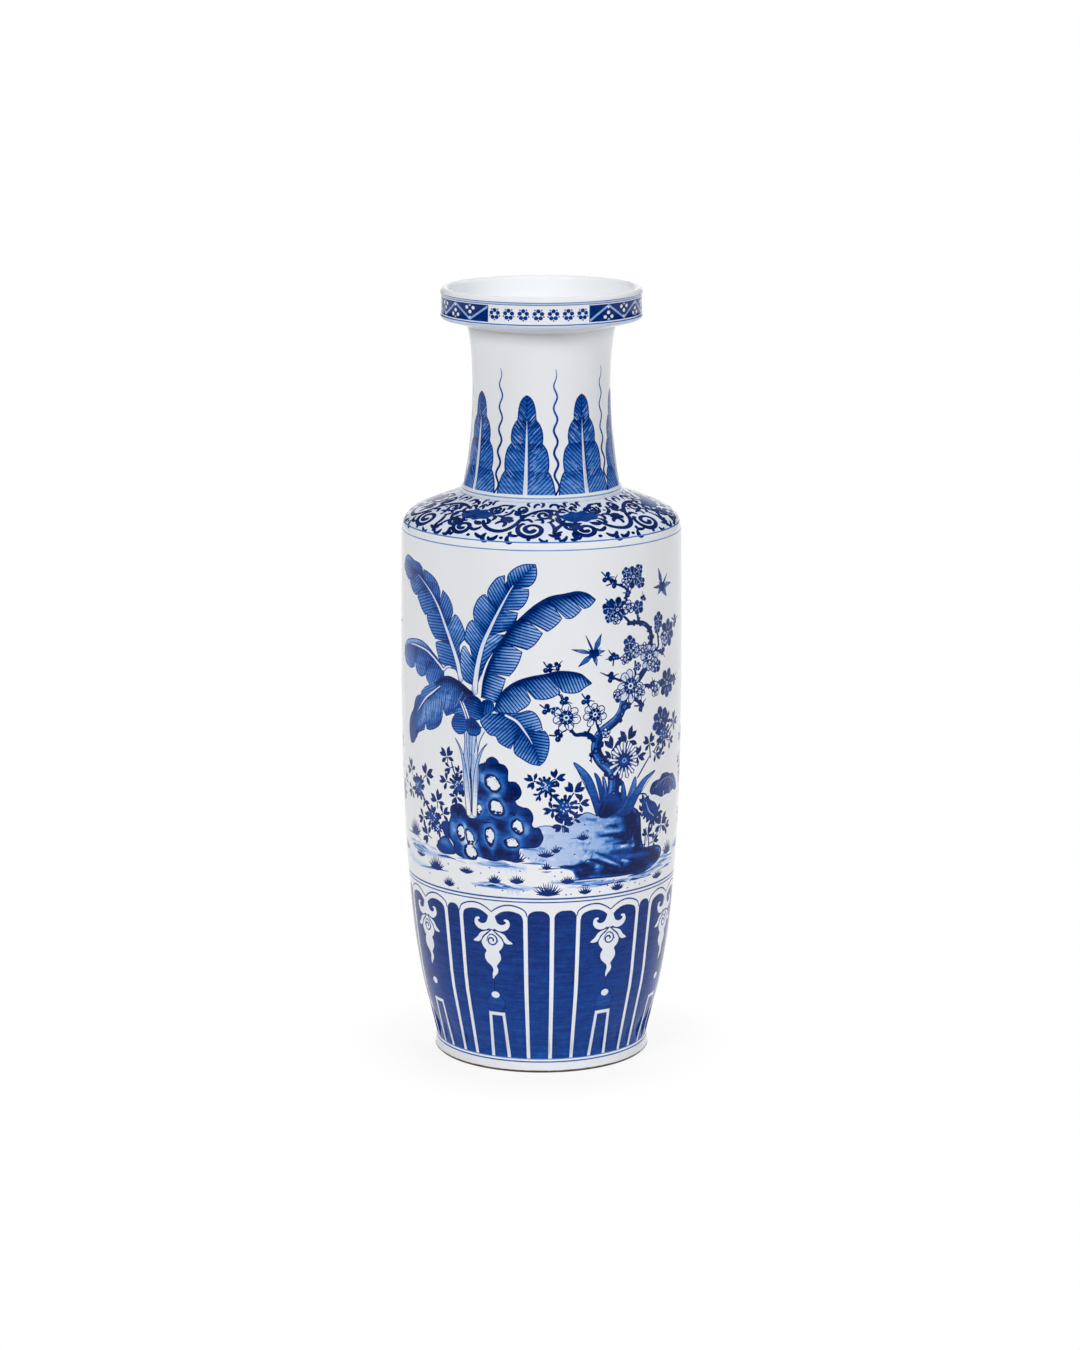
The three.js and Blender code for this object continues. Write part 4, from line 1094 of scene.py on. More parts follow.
mound = {
    "patches": [([(-3, 155), (1, 156.2), (4, 156.2), (8, 155.8), (14, 155.4), (18, 157.8), (22, 161),
      (26, 163), (29, 162.8), (33, 160.8), (38, 160), (46, 161.4), (52, 163.6), (58, 163.4), (62, 160.4),
      (64.6, 156), (65.4, 150), (66.4, 143), (68.4, 138), (72, 136.2), (80, 135.6), (85, 134.6),
      (88, 130.6), (87, 127), (83, 124.6), (78, 123), (70, 121.4), (62, 122), (54, 122.8), (46, 122),
      (40, 122.8), (30, 122.8), (20.6, 122.4), (20, 126), (17.6, 128.6), (13, 130), (9.4, 130.8), (4, 132),
      (-4, 133.6), (-12, 139), (-9, 143), (-2, 145)], ((0, 150), (60, 138), 0.17, 0.36))],
    "washes": [([(24, 160), (32, 158), (42, 157.4)], [5, 7, 6], 0.12),
      ([(44, 160.4), (52, 161), (58, 158)], [6, 9, 11], 0.62),
      ([(40, 153), (48, 153.6), (56, 152)], [5, 11, 10], 0.34),
      ([(40, 150.6), (48, 150.4), (54, 149)], [2, 2.6, 2], -0.08),
      ([(36, 148.4), (43, 148), (49, 147), (54, 145.4)], [1.4, 3.2, 5.4, 7], 0.8),
      ([(57, 158.6), (60.6, 153), (62.4, 147), (64, 140)], [9, 11, 11, 10], 0.9),
      ([(52, 148), (57, 147)], [8, 9], 0.5), ([(40, 144.4), (48, 144.6), (54, 143.6)], [4, 7, 7], 0.32),
      ([(46, 142.2), (52, 141.8), (58, 140.4)], [1.4, 3.4, 5], 0.5),
      ([(51, 140), (56, 140.6), (61, 139)], [2, 4.6, 2], -0.42),
      ([(58.4, 149.6), (59.4, 146), (59.6, 142.6)], [1, 2.2, 1], -0.5),
      ([(44, 136.6), (58, 135.4), (72, 132.6), (82, 130)], [6, 10, 12, 11], 0.4),
      ([(60, 129), (72, 127), (83, 128)], [10, 13, 12], 0.55),
      ([(34, 126), (46, 125.6), (58, 125), (70, 124.6)], [9, 12, 12, 8], 0.8),
      ([(22, 127), (26, 126), (30, 129.8)], [7, 13, 10], 0.95),
      ([(12, 130.8), (19, 130.4), (26, 131.8)], [2, 4, 6], 0.95),
      ([(30, 134.6), (36, 132.6), (42, 129.6), (48, 127.4)], [2.6, 5, 5, 4], 0.75),
      ([(33, 138.4), (40, 135.6), (46, 132.4), (52, 129.4)], [1, 3.4, 4, 3], 0.55),
      ([(50, 133.6), (58, 131.2), (66, 129)], [1, 3, 1.6], 0.4),
      ([(60, 137.2), (70, 135.2), (80, 133.6)], [1.6, 4, 3], 0.4),
      ([(37, 134), (44, 131.2), (50, 128.6)], [1.4, 2.6, 1], -0.16),
      ([(50, 160), (54, 156), (57.4, 150), (58, 143)], [6, 10, 10, 8], 0.5),
      ([(52, 131.6), (60, 129.4), (70, 127.6)], [1, 2.4, 1], -0.14),
      ([(33.6, 129), (35.4, 125.4)], [5, 5], -0.3),
      ([(56, 134.6), (66, 132.6), (76, 130.6)], [1, 2.4, 1], -0.12),
      ([(36, 138), (50, 137.4), (64, 136)], [4, 8, 8], 0.2),
      ([(50, 160), (55, 157.6), (58.6, 153)], [1, 2, 1], -0.3)],
    "mists": [([(6, 121.6), (20, 121.4), (40, 120.8)], [1.6, 3, 2], 0.34),
      ([(36, 119.6), (56, 119), (76, 120.6), (96, 125)], [2, 4, 6, 5], 0.2),
      ([(-44, 131), (-30, 131.6), (-10, 130)], [2, 5, 2], 0.24),
      ([(-100, 132), (-84, 131), (-66, 131.4)], [5, 6, 4], 0.22),
      ([(-44, 118.6), (-26, 118), (-8, 117)], [1.6, 3.4, 1.4], 0.3),
      ([(-108, 124), (-96, 122), (-80, 122)], [4, 5, 2], 0.16),
      ([(-22, 143), (-10, 142.6), (0, 141)], [3, 4, 2], 0.2)],
    "lines": [((0, 0, 5), [0.4, 0.7, 0.5], 0.72),
      ([(17, 157), (22, 161), (26, 163), (29, 162.8), (33, 160.8)], [0.4, 0.9, 0.5], 0.76),
      ([(9.6, 131.2), (14, 131.8), (20, 131.4), (25, 132.2), (28, 134.6), (32, 134)],
      [0.4, 0.9, 0.7, 0.9, 0.4], 0.9),
      ([(36.6, 148.7), (44, 148.2), (50, 146.9), (54.6, 145)], [0.3, 1.1, 1.9, 1.2], 0.93),
      ([(58, 163.2), (62, 160.2), (64.4, 156), (65.2, 150), (66, 143), (68, 138)],
      [0.6, 1.6, 1.8, 1.8, 1.8, 1], 0.97),
      ([(20.4, 122.6), (30, 123), (40, 122.6), (50, 122.4), (62, 122), (70, 121.6), (78, 123)],
      [0.8, 1.2, 0.8, 1.2, 1, 1.2, 0.6], 0.93),
      ([(72, 136), (80, 135.4), (86, 133.6), (88, 130.4), (86, 126.4)], [0.5, 0.9, 1.3, 1.1, 0.6], 0.93),
      ([(33, 138), (40, 135.2), (47, 131.8)], [0.3, 1, 0.3], 0.8),
      ([(29, 134), (36, 131.6), (45, 127)], [0.4, 1.3, 0.4], 0.93),
      ([(48, 142), (55, 141.6), (60, 139.6)], [0.3, 1, 0.4], 0.86),
      ([(53.4, 150), (54, 146), (54.4, 143)], [0.3, 0.9, 0.3], 0.9),
      ([(56.4, 150), (57, 146), (57, 143)], [0.3, 0.7, 0.3], 0.86),
      ([(46, 126), (58, 124.4), (68, 124)], [0.3, 1.2, 0.3], 0.97)],
}
edgeLeaf = {
    "patches": [([(73, 170), (75, 174), (79, 175.4), (83, 175.6), (86, 178), (92, 177.8), (97, 176),
      (101, 175.6), (105, 172.6), (109, 168), (110, 164.4), (106, 163.8), (102, 165.4), (97, 164),
      (92, 164.6), (86, 164), (82, 165.4), (78, 167), (75, 167.4)], ((84, 176), (90, 164), 0.97, 0.84),
      (80, 1.8, -0.1)),
      ([(66, 162), (68, 166), (71, 167.6), (74, 164.6), (79, 162), (82.6, 157), (81.6, 153), (77, 151),
      (73, 152.6), (69, 156)], ((70, 166), (76, 152), 0.86, 0.97), (120, 1.6, -0.2))],
    "washes": [([(78, 171), (88, 174.6), (100, 171)], [2, 4, 2], 0.14)],
    "lines": [([(79, 171), (86, 174), (95, 174.2), (105, 169.6)], [0.5, 0.8, 0.8, 0.3], 0.5),
      ([(70, 164), (73, 158), (78, 154)], [0.4, 0.7, 0.4], 0.3),
      ([(60, 168.8), (65, 169.8), (69.6, 168.6), (71.6, 165)], [0.6, 0.9, 1, 0.6], 0.9),
      ([(88, 164), (88.6, 167)], [0.3, 0.7], 0.1), ([(97.4, 164), (98, 167.4)], [0.3, 0.7], 0.1),
      *[([(x, 172.6), (x + way, 172.6 + 0.8 * way)], [0.3, 0.6, 0.2], 0.42)
        for x in (80, 85, 90, 95, 100) for way in (3, -3.6)]],
}
blades = [
    ([(33.6, 160.4), (31.6, 166), (28.4, 175), (24.4, 184), (18.8, 193.6), (25, 189.4), (29.4, 184),
    (32.4, 177.6), (34.8, 170), (36, 163)], 0.62),
    ([(36.4, 164), (35.2, 172), (33.6, 180), (31.6, 186.6), (35, 183), (37, 176), (38, 168)], 0.72),
    ([(34.4, 160.8), (35.4, 167), (38, 171), (42, 172.6), (47.4, 171), (50, 164.6), (46, 161.2),
    (42, 159.2), (38, 159)], 0.9),
    ([(38, 169), (37.4, 177), (37, 184), (39.2, 180), (40, 172)], 0.5),
    ([(47, 161), (49.4, 170), (50.6, 179.6), (53.4, 171), (53, 161)], 0.66),
    ([(49, 160), (54.4, 170), (60, 180.8), (60.8, 173), (57, 161)], 0.56),
    ([(51, 160), (59, 171), (67, 178.6), (78, 181.6), (70, 177), (63, 168.6), (57, 160)], 0.6),
    ([(46.4, 161), (46.8, 169), (46, 177), (49.4, 170), (50, 161)], 0.5),
]


def paintBlades(work, found):
    for outline, tone in found:
        (x, y), tip = outline[0], max(outline, key=lambda p: p[1])
        work.shape(outline, ((x, y), tip, tone + 0.24, tone - 0.1), gap=1)
        work.stroke(smooth(outline, True, 1.5), [0.7], 0.86)
        work.stroke([((x + outline[-1][0]) / 2, y + 1), tip], [0.8, 0.7, 0.3], 0.84)


flowers = {
    "stems": [((-57, 190), (-55, 184), (-52, 180)), ((5.6, 175), (9, 171.6), (11, 169)),
      ((-84, 164), (-80, 160), (-77, 157)), ((62, 180), (68, 187), (73, 192)), ((73, 190), (72, 198)),
      ((76, 193), (82, 199)), ((52.4, 199), (52.8, 206)), ((86, 200), (95, 204), (101, 207)),
      ((70, 137), (70.6, 148)), ((74, 136), (73, 148)), ((78, 140), (84, 144)), ((14, 160), (13.6, 152))],
    "blooms": [(-52, 177, 7.4, 21), (-89.6, 170, 8.4, 22), (-74.6, 154, 8, 23), (2.8, 180, 6.6, 24),
      (13.8, 167, 8, 25), (86, 202, 8.6, 26), (72, 158.6, 6.6, 27), (76.6, 154, 6.4, 28),
      (-70, 148.6, 4.6, 29)],
    "sprays": [(-60.6, 193, 100, 6.4, 6), (-58, 186.6, 200, 5, 3), (-52, 184, 80, 4.6, 3),
      (-61, 178, 170, 6, 4), (-54, 170, 250, 5.6, 4), (-99, 178, 120, 7, 5), (-80, 178.4, 40, 7.4, 5),
      (-99, 166, 220, 6, 4), (-82, 163, 300, 5, 3), (-69.6, 164.4, 90, 7, 5), (-84, 152, 200, 6.4, 4),
      (-65, 157.6, 30, 6, 4), (-80, 142, 160, 7, 5), (-68, 141, 20, 5, 4), (-62, 150, 70, 5, 4),
      (-4.4, 183, 170, 5.6, 5), (8, 184.4, 30, 6, 5), (-1, 175, 230, 4, 3), (6, 175, 310, 4.6, 3),
      (19, 175.6, 60, 7.4, 5), (22.6, 169, 0, 6, 4), (6.6, 166, 190, 5.6, 4), (12.6, 156.6, 90, 7.4, 7),
      (19, 160, 20, 5, 3), (54, 203.4, 75, 8.4, 5), (61.6, 193, 10, 6.6, 5), (43.4, 199.4, 92, 8, 3),
      (43, 195, 130, 5.6, 3), (72, 199, 100, 6.4, 6), (78, 192, -30, 5.6, 4), (83.4, 190, 60, 5, 3),
      (90, 209, 70, 6.4, 4), (94, 197, -10, 6, 4), (100.6, 207, 40, 6.6, 6), (86.6, 147, 80, 8.6, 6),
      (92, 144.6, 10, 6, 4), (72.4, 143.6, 80, 6, 5), (78, 138.4, 10, 6, 4), (69, 138, 200, 3, 3),
      (81, 155, -20, 6.6, 4), (66.8, 158, 170, 5.6, 3), (68.6, 163, 100, 6, 3)],
    "daisies": [(51.6, 192, 10.4)],
    "tufts": [(4, 114.4, 18, 7.6, 13), (27, 114.6, 9, 4, 7), (49, 114.6, 10, 4.6, 9), (16, 121.6, 10, 4, 9),
      (2.6, 138, 11, 4, 8), (8.6, 140.6, 6, 4, 5), (25, 147.6, 8, 4, 7), (3, 130.6, 6, 3.6, 5),
      (-15, 121.6, 10, 4.4, 9), (-29, 121, 9, 4.6, 9), (-48, 125, 11, 3.4, 9), (-73, 123, 15, 7.6, 13),
      (-62, 115, 10, 5, 9), (-15.4, 134.6, 13, 7.6, 9), (-96, 140, 16, 9, 13), (85, 115.4, 12, 4.6, 9),
      (97, 128, 14, 8, 11), (-90, 128, 12, 3.4, 7)],
    "lines": [((-92, 120.6), (-76, 122.4), (-62, 123), 0.5), ((-40, 119.6), (-28, 120.4), (-12, 117), 0.46),
      ((-12, 133.4), (-4, 133.4), (4, 132.6), 0.5), ((-2, 130), (4, 130.2), (12, 130.2), 0.8),
      ((0, 128.4), (3, 128.2), (6, 128.4), 0.7), ((10, 121.6), (22, 121), (34, 121.4), 0.6),
      ((17, 148.2), (24, 148.2), (31, 147.6), 0.6), ((60, 119.4), (72, 118.6), (84, 121), 0.3),
      ((86, 126.6), (96, 125.8), (108, 124.6), 0.4), ((-110, 138.6), (-96, 139), (-88, 137), 0.5),
      ((-100, 131), (-90, 130.4), (-80, 132), 0.4), ((20, 119.8), (40, 119.4), (58, 119.6), 0.4),
      ((-30, 143), (-22, 143.6), (-3, 141.6), 0.5), ((66, 121), (74, 120.6), (90, 123), 0.6)],
    "dots": [(-32, 129.4), (-26, 127), (-13, 128.6), (-7.6, 136.6), (15, 114), (18, 114.2), (36.6, 114.2),
      (38, 120.6), (57, 113.8), (63, 116), (67, 114.4), (-42, 117), (-62, 127.6), (-38, 125.4), (8, 125.6),
      (12, 128), (26, 156), (27.6, 152.4), (25, 151.6), (20, 138.4), (11.6, 142.6), (-24, 116),
      (-11, 116.4), (-80, 118.6), (42, 117.4), (46, 120.4), (72, 115.4), (-55, 113.8)],
}

# What grows in the two gaps between the garden and its repeat
clump = {
    "stems": [((-2, 134), (-4, 152), (-9, 170)), ((1, 134), (3, 156), (2, 180)),
      ((4, 134), (9, 148), (14, 160)), ((-9, 170), (-12, 182), (-10, 194))],
    "blooms": [(-10, 172, 7, 41), (2, 184, 8, 42), (14, 162, 7, 43)],
    "sprays": [(-12, 194, 100, 7, 5), (-15, 180, 160, 6, 4), (8, 174, 40, 6, 4), (-5, 160, 200, 6, 4),
      (6, 152, -20, 6, 4), (-8, 146, 170, 7, 5), (10, 190, 60, 6, 4), (20, 170, 30, 5, 3),
      (3, 196, 90, 6, 5)],
    "daisies": [],
    "tufts": [(0, 134, 22, 14, 15), (-16, 128, 10, 4, 7), (15, 127, 12, 5, 9), (2, 119, 14, 5, 9)],
    "lines": [((-22, 131), (-6, 132), (12, 130), 0.5), ((-16, 123), (0, 124), (20, 122), 0.4)],
    "dots": [(-12, 121), (8, 121.6), (17, 121)],
}


def paintFlowers(work, f):
    for path in f["stems"]:
        work.stroke(path, [1, 1.1, 0.9], 0.88)
    for place in f["sprays"]:
        spray(work, *place)
    for x, y, size, seed in f["blooms"]:
        aster(work, x, y, size * 0.92, seed)
    for place in f["daisies"]:
        daisy(work, *place)
    for *path, tone in f["lines"]:
        work.stroke(path, [0.3, 1.4 if tone < 0.6 else 0.9, 0.3], tone)
    for place in f["tufts"]:
        tuft(work, *place)
    for x, y in f["dots"]:
        work.dot(x, y, 1.3, 0.9, 0.7, 7)


# Short level strokes on the ground, as (from, to, lowest, highest)
groundWashes = [(-108, -60, 131, 136), (-56, -20, 130, 134.6), (-44, -4, 117, 119.6),
                (12, 36, 117.6, 120.6), (34, 70, 118, 121), (74, 106, 119, 127)]


def paintGarden(work):
    rng = Random(9)
    for x0, x1, y0, y1 in groundWashes:
        for k in range(12):
            x, y, run = rng.uniform(x0, x1 - 6), rng.uniform(y0, y1), rng.uniform(6, 16)
            work.stroke([(x, y), (x + run / 2, y + 0.3), (x + run, y - 0.3)],
                        [0.4, rng.uniform(0.9, 2), 0.4], rng.choice((0.16, 0.24, 0.34, 0.2, 0.7)))
    paintStudy(work, mound)
    rng = Random(15)
    for k in range(60):
        x, y, run = rng.uniform(-6, 76), rng.uniform(124, 160), rng.uniform(2, 7)
        work.soft([(x, y), (x + run, y - rng.uniform(0, 0.3) * run)], [0.8, rng.uniform(1.2, 3)],
                  rng.choice((-0.12, 0.12, 0.2, 0.3)))
    paintBlades(work, blades[4:])
    paintPrunus(work, prunus)
    paintBlades(work, blades[:4])
    paintFlowers(work, flowers)
    paintStudy(work, edgeLeaf)
    paintRock(work, rock)
    paintTrunk(work, trunk)
    for leaf in plantain:
        plantainLeaf(work, leaf)
    paintStudy(work, droops)
    for ridge, edge, count, tones in droopFibres:
        streaks(work, ridge, edge, count, tones, count)
    plantainLeaf(work, foldedLeaf)
    for centre, wings in flies.values():
        paintFly(work, centre, wings)


def paintBody(work, b):
    half = pi * b.girth
    (x0, y0), wings = flies["near"]
    for side in (0, 1):
        work.put(side * half)
        paintGarden(work)
        work.put((side - 0.5) * half)
        work.soft([(-24, 129), (-4, 130), (20, 128)], [4, 8, 4], 0.3, "mist")
        paintFlowers(work, clump)
        paintFly(work, (2, 262), [((x0 + 2 - x, y - y0 + 262), *rest) for (x, y), *rest in wings])


allMarks = []
for band, paint in ((panelBand, paintPanels), (leafBand, paintNeckLeaves),
                    (scrollBand, paintScroll), (rimBand, paintRim),
                    ({"girth": pot["bodyRadius"]}, paintBody)):
    work = Brushwork(band["girth"])
    paint(work, Values(**band))
    allMarks += work.marks
print("brush marks:", len(allMarks))


# Flat sheets with the marks cut into them

def clipped(outline, axis, limit, keepBelow):
    inside = outline[:, axis] <= limit if keepBelow else outline[:, axis] >= limit
    if inside.all():
        return outline
    out = []
    for i, b in enumerate(outline if inside.any() else ()):
        a = outline[i - 1]
        if inside[i] != inside[i - 1]:
            out.append(a + (limit - a[axis]) / (b[axis] - a[axis]) * (b - a))
            out[-1][axis] = limit
        if inside[i]:
            out.append(b)
    return np.reshape(out, (-1, 2))


def marksOn(section):
    found = []
    for outline, tone, hatch, depth, kind in allMarks:
        if outline[:, 1].max() < section.low or outline[:, 1].min() > section.high:
            continue
        for turns in (-1, 0, 1):
            p = outline + [turns * fullTurn, 0]
            if hatch is None:
                if abs(p[:, 0]).min() < pi:
                    found.append((p, tone, None, depth, kind))
                continue
            for axis, limit, below in ((0, pi, True), (0, -pi, False),
                                       (1, section.high, True), (1, section.low, False)):
                p = clipped(p, axis, limit, below)
            if len(p) > 2:
                shift = lambda field: field - [field[1] * turns * fullTurn, 0, 0]
                found.append((p, shift(tone), shift(hatch), depth, kind))
    return found


# Heights of the sheet's rows: close together where the outline turns
def rowsOf(section, longest=6.0, turnStep=6.0):
    p = section.outline
    along = lengths(p)
    way = np.degrees(np.unwrap(np.arctan2(*np.diff(p, axis=0).T[::-1])))
    rows, turned = [0.0, along[-1]], 0.0
    for i in range(1, len(p) - 1):
        step = abs(way[i] - way[i - 1])
        turned += step
        if turned > turnStep or step > 12:
            rows.append(along[i])
            turned = 0.0
    rows = np.unique(np.round([*(np.array(rows) + section.start), section.low, section.high], 6))
    keep = [rows[0]]
    for y in rows[1:]:
        if y - keep[-1] < 0.12 and min(abs(y - f) for f in (section.low, section.high, rows[-1])) \
                >= 1e-5:
            continue
        parts = int(ceil((y - keep[-1]) / longest))
        keep += list(keep[-1] + (y - keep[-1]) * np.arange(1, parts) / parts) + [y]
    return np.array(keep)


def insideOf(outline, points):
    a, b = outline, np.roll(outline, -1, 0)
    px, py = points[:, :1], points[:, 1:]
    left = (b[:, 0] - a[:, 0]) * (py - a[:, 1]) - (px - a[:, 0]) * (b[:, 1] - a[:, 1])
    rising = (a[:, 1] <= py) & (b[:, 1] > py) & (left > 0)
    falling = (a[:, 1] > py) & (b[:, 1] <= py) & (left < 0)
    return rising.sum(1) != falling.sum(1)


def fallOff(path, corners, girth, half, amount):
    at = corners.reshape(-1, 2) * [girth, 1]
    p = path * [girth, 1]
    nearest = np.full(len(at), 9.0)
    for a, b, wa, wb in zip(p, p[1:], half, half[1:]):
        along = np.clip((at - a) @ (b - a) / max(float((b - a) @ (b - a)), 1e-9), 0, 1)
        gap = at - a - along[:, None] * (b - a)
        nearest = np.minimum(nearest, (gap ** 2).sum(1)
                             / np.maximum(wa + along * (wb - wa), 0.05) ** 2)
    return (amount * np.clip(1 - nearest, 0, 1) ** 2).reshape(corners.shape[:2])


def sheetMesh(name, section, columns=180):
    rows = rowsOf(section)
    low, high, wide = section.low, section.high, columns + 1
    girth = np.interp((low + high) / 2 - section.start, lengths(section.outline),
                      section.outline[:, 0])
    scale = np.array([girth, 1.0])
    grid = np.stack(np.meshgrid(np.linspace(-pi, pi, wide), rows), -1).reshape(-1, 2)
    held = [r for r, y in enumerate(rows)
            if min(abs(y - f) for f in (rows[0], low, high, rows[-1])) < 1e-5]
    edges = [(r * wide + c, r * wide + c + 1) for r in held for c in range(columns)]
    edges += [(r * wide + c, (r + 1) * wide + c) for r in range(len(rows) - 1)
              for c in (0, columns)]
    marks = marksOn(section)
    points, total = [grid], len(grid)
    for outline, tone, hatch, *_ in marks:
        if hatch is None:
            # Loose points inside a soft wash carry its fall
            margin = np.stack([tone[1] / tone[0], tone[1]], 1) * 0.5
            outline = np.concatenate([outline + margin * way for way in
                                      ((0, 0), (0, 1), (1, 0), (0, -1), (-1, 0))])
            outline = outline[(abs(outline[:, 0]) < pi - 0.01)
                              & (outline[:, 1] > low + 0.1) & (outline[:, 1] < high - 0.1)]
        else:
            n = len(outline)
            edges += [(total + i, total + (i + 1) % n) for i in range(n)]
        points.append(outline)
        total += len(outline)
    flat = np.concatenate(points) * scale
    verts, _, faces, *_ = delaunay_2d_cdt([Vector(v) for v in flat.tolist()], edges, [], 0,
                                          1e-4, False)
    verts = np.array([tuple(v) for v in verts]) / scale
    faces = np.array([f for f in faces if len(f) == 3])
    a, b, c = verts[faces].transpose(1, 0, 2)
    (bx, by), (cx, cy) = (b - a).T, (c - a).T
    turned = bx * cy < by * cx
    faces[turned] = faces[turned][:, ::-1]
    corners = verts[faces]
    middle = corners.mean(1)

    # The last mark over a face gives it its tone, and a wash adds to what is there
    tones, hatches, extra = np.zeros((3, len(faces), 3))
    depths = np.zeros(len(faces))
    order = np.argsort(middle[:, 0])
    sortedX = middle[order, 0]
    for outline, tone, hatch, depth, kind in marks:
        soft = hatch is None
        margin = np.array([tone[1].max() / tone[0], tone[1].max()]) if soft else 0
        least, most = outline.min(0) - margin, outline.max(0) + margin
        near = order[slice(*np.searchsorted(sortedX, [least[0], most[0]]))]
        near = near[(middle[near, 1] > least[1]) & (middle[near, 1] < most[1])]
        if not soft:
            near = near[insideOf(outline, middle[near])]
        if kind == "soft":
            at = tones[near]
            near = near[at[:, 0] + (at[:, 1:] * middle[near]).sum(1) + extra[near].mean(1)
                        > 0.045]
        if soft:
            extra[near] += fallOff(outline, corners[near], *tone)
        elif kind == "add":
            tones[near] += tone
        else:
            tones[near], hatches[near], depths[near], extra[near] = tone, hatch, depth, 0
    one = np.concatenate([np.ones((*corners.shape[:2], 1)), corners], 2)
    paint = np.stack([np.clip((one * tones[:, None]).sum(2) + extra, 0, 1),
                      (one * hatches[:, None]).sum(2),
                      np.broadcast_to(depths[:, None], corners.shape[:2])], 2)

    mesh = bpy.data.meshes.new(name)
    mesh.from_pydata(np.c_[verts * [1, mm], np.zeros(len(verts))].tolist(), [], faces.tolist())
    for layer, kind, values in (("paint", "FLOAT_VECTOR", paint), ("sheet", "FLOAT2", corners)):
        layer = mesh.attributes.new(layer, kind, "CORNER")
        layer.data.foreach_set("vector", values.astype(np.float32).ravel())
    # The painted run fills most of the bake map, and the plain runs share the rest
    v = np.interp(corners[..., 1], [rows[0], low, high, rows[-1]], [0.004, 0.1, 0.9, 0.996])
    u = 0.002 + 0.996 * (corners[..., 0] + pi) / fullTurn
    bake = mesh.uv_layers.new(name="OFBake")
    bake.uv.foreach_set("vector", np.stack([u, v], -1).astype(np.float32).ravel())
    print(name, "sheet:", len(faces), "faces,", len(marks), "marks")
    return mesh


eased = {"interpolation_type": "SMOOTHSTEP"}


# Adds one node, a shader node where its kind lacks the word Node. Settings are properties or
# an operation's name, and inputs come in order or by name, as values, sockets or nodes.
def addNode(tree, kind, settings=None, *inputs, **named):
    node = tree.nodes.new(kind if "Node" in kind else "ShaderNode" + kind)
    if isinstance(settings, str):
        settings = {"operation": settings}
    for key, value in (settings or {}).items():
        setattr(node, key, value)
    for key, value in (*enumerate(inputs), *named.items()):
        socket = node.inputs[key.replace("_", " ") if isinstance(key, str) else key]
        if isinstance(value, bpy.types.Node):
            value = value.outputs[0]
        if isinstance(value, bpy.types.NodeSocket):
            tree.links.new(value, socket)
        else:
            socket.default_value = value
    return node


def emptyTree(owner):
    owner.use_nodes = True
    owner.node_tree.nodes.clear()
    return owner.node_tree


# Geometry Nodes: wraps a flat sheet round the wheel's axis, along the wall's outline
def wheelTree():
    t = bpy.data.node_groups.new("turnOnWheel", "GeometryNodeTree")
    for name, kind in (("Sheet", "Geometry"), ("Wall Outline", "Object"), ("First Row", "Float"),
                       ("Weld Distance", "Float"), ("Glaze", "Material")):
        t.interface.new_socket(name, in_out="INPUT", socket_type="NodeSocket" + kind)
    t.interface.new_socket("Geometry", in_out="OUTPUT", socket_type="NodeSocketGeometry")
    given = addNode(t, "NodeGroupInput").outputs
    outline = addNode(t, "GeometryNodeObjectInfo", Object=given["Wall Outline"])
    position = addNode(t, "GeometryNodeInputPosition")
    place = addNode(t, "SeparateXYZ", None, position).outputs
    along = addNode(t, "Math", "SUBTRACT", place["Y"], given["First Row"])
    onWall = addNode(t, "GeometryNodeSampleCurve", {"mode": "LENGTH"},
                     Curves=outline.outputs["Geometry"], Length=along)
    wall = addNode(t, "SeparateXYZ", None, onWall.outputs["Position"]).outputs
    sine = addNode(t, "Math", "SINE", place["X"])
    cosine = addNode(t, "Math", "COSINE", place["X"])
    x = addNode(t, "Math", "MULTIPLY", wall["X"], sine)
    back = addNode(t, "Math", "MULTIPLY", wall["X"], cosine)
    y = addNode(t, "Math", "MULTIPLY", back, -1)
    turned = addNode(t, "CombineXYZ", None, x, y, wall["Z"])
    wrapped = addNode(t, "GeometryNodeSetPosition", Geometry=given["Sheet"], Position=turned)
    welded = addNode(t, "GeometryNodeMergeByDistance", Geometry=wrapped, Distance=given["Weld Distance"])
    even = addNode(t, "GeometryNodeSetShadeSmooth", Geometry=welded)
    real = addNode(t, "GeometryNodeRealizeInstances", Geometry=even)
    glazed = addNode(t, "GeometryNodeSetMaterial", Geometry=real, Material=given["Glaze"])
    addNode(t, "NodeGroupOutput", Geometry=glazed)
    return t


def addObject(name, data):
    obj = bpy.data.objects.new(name, data)
    scene.collection.objects.link(obj)
    return obj


def outlineObject(name, points):
    curve = bpy.data.curves.new(name, "CURVE")
    curve.dimensions = "3D"
    spline = curve.splines.new("POLY")
    spline.points.add(len(points) - 1)
    spline.points.foreach_set("co", np.c_[points[:, 0] * mm, np.zeros(len(points)),
                                          points[:, 1] * mm, np.ones(len(points))].ravel())
    return addObject(name, curve)


def turnSection(name, section, material, tree):
    mesh = sheetMesh(name, section)
    piece = addObject(name, mesh)
    outline = outlineObject(name + "Outline", section.outline)
    wheel = piece.modifiers.new("wheel", "NODES")
    wheel.node_group = tree
    for item in tree.interface.items_tree:
        value = {"Wall Outline": outline, "First Row": section.start * mm,
                 "Weld Distance": 4e-6, "Glaze": material}.get(item.name)
        if item.in_out == "INPUT" and value is not None:
            wheel[item.identifier] = value
    depsgraph = bpy.context.evaluated_depsgraph_get()
    turned = bpy.data.meshes.new_from_object(piece.evaluated_get(depsgraph),
                                             depsgraph=depsgraph)
    piece.modifiers.clear()
    piece.data = turned
    turned.name = name
    bpy.data.meshes.remove(mesh)
    bpy.data.objects.remove(outline)
    setNormals(turned, section)
    return piece


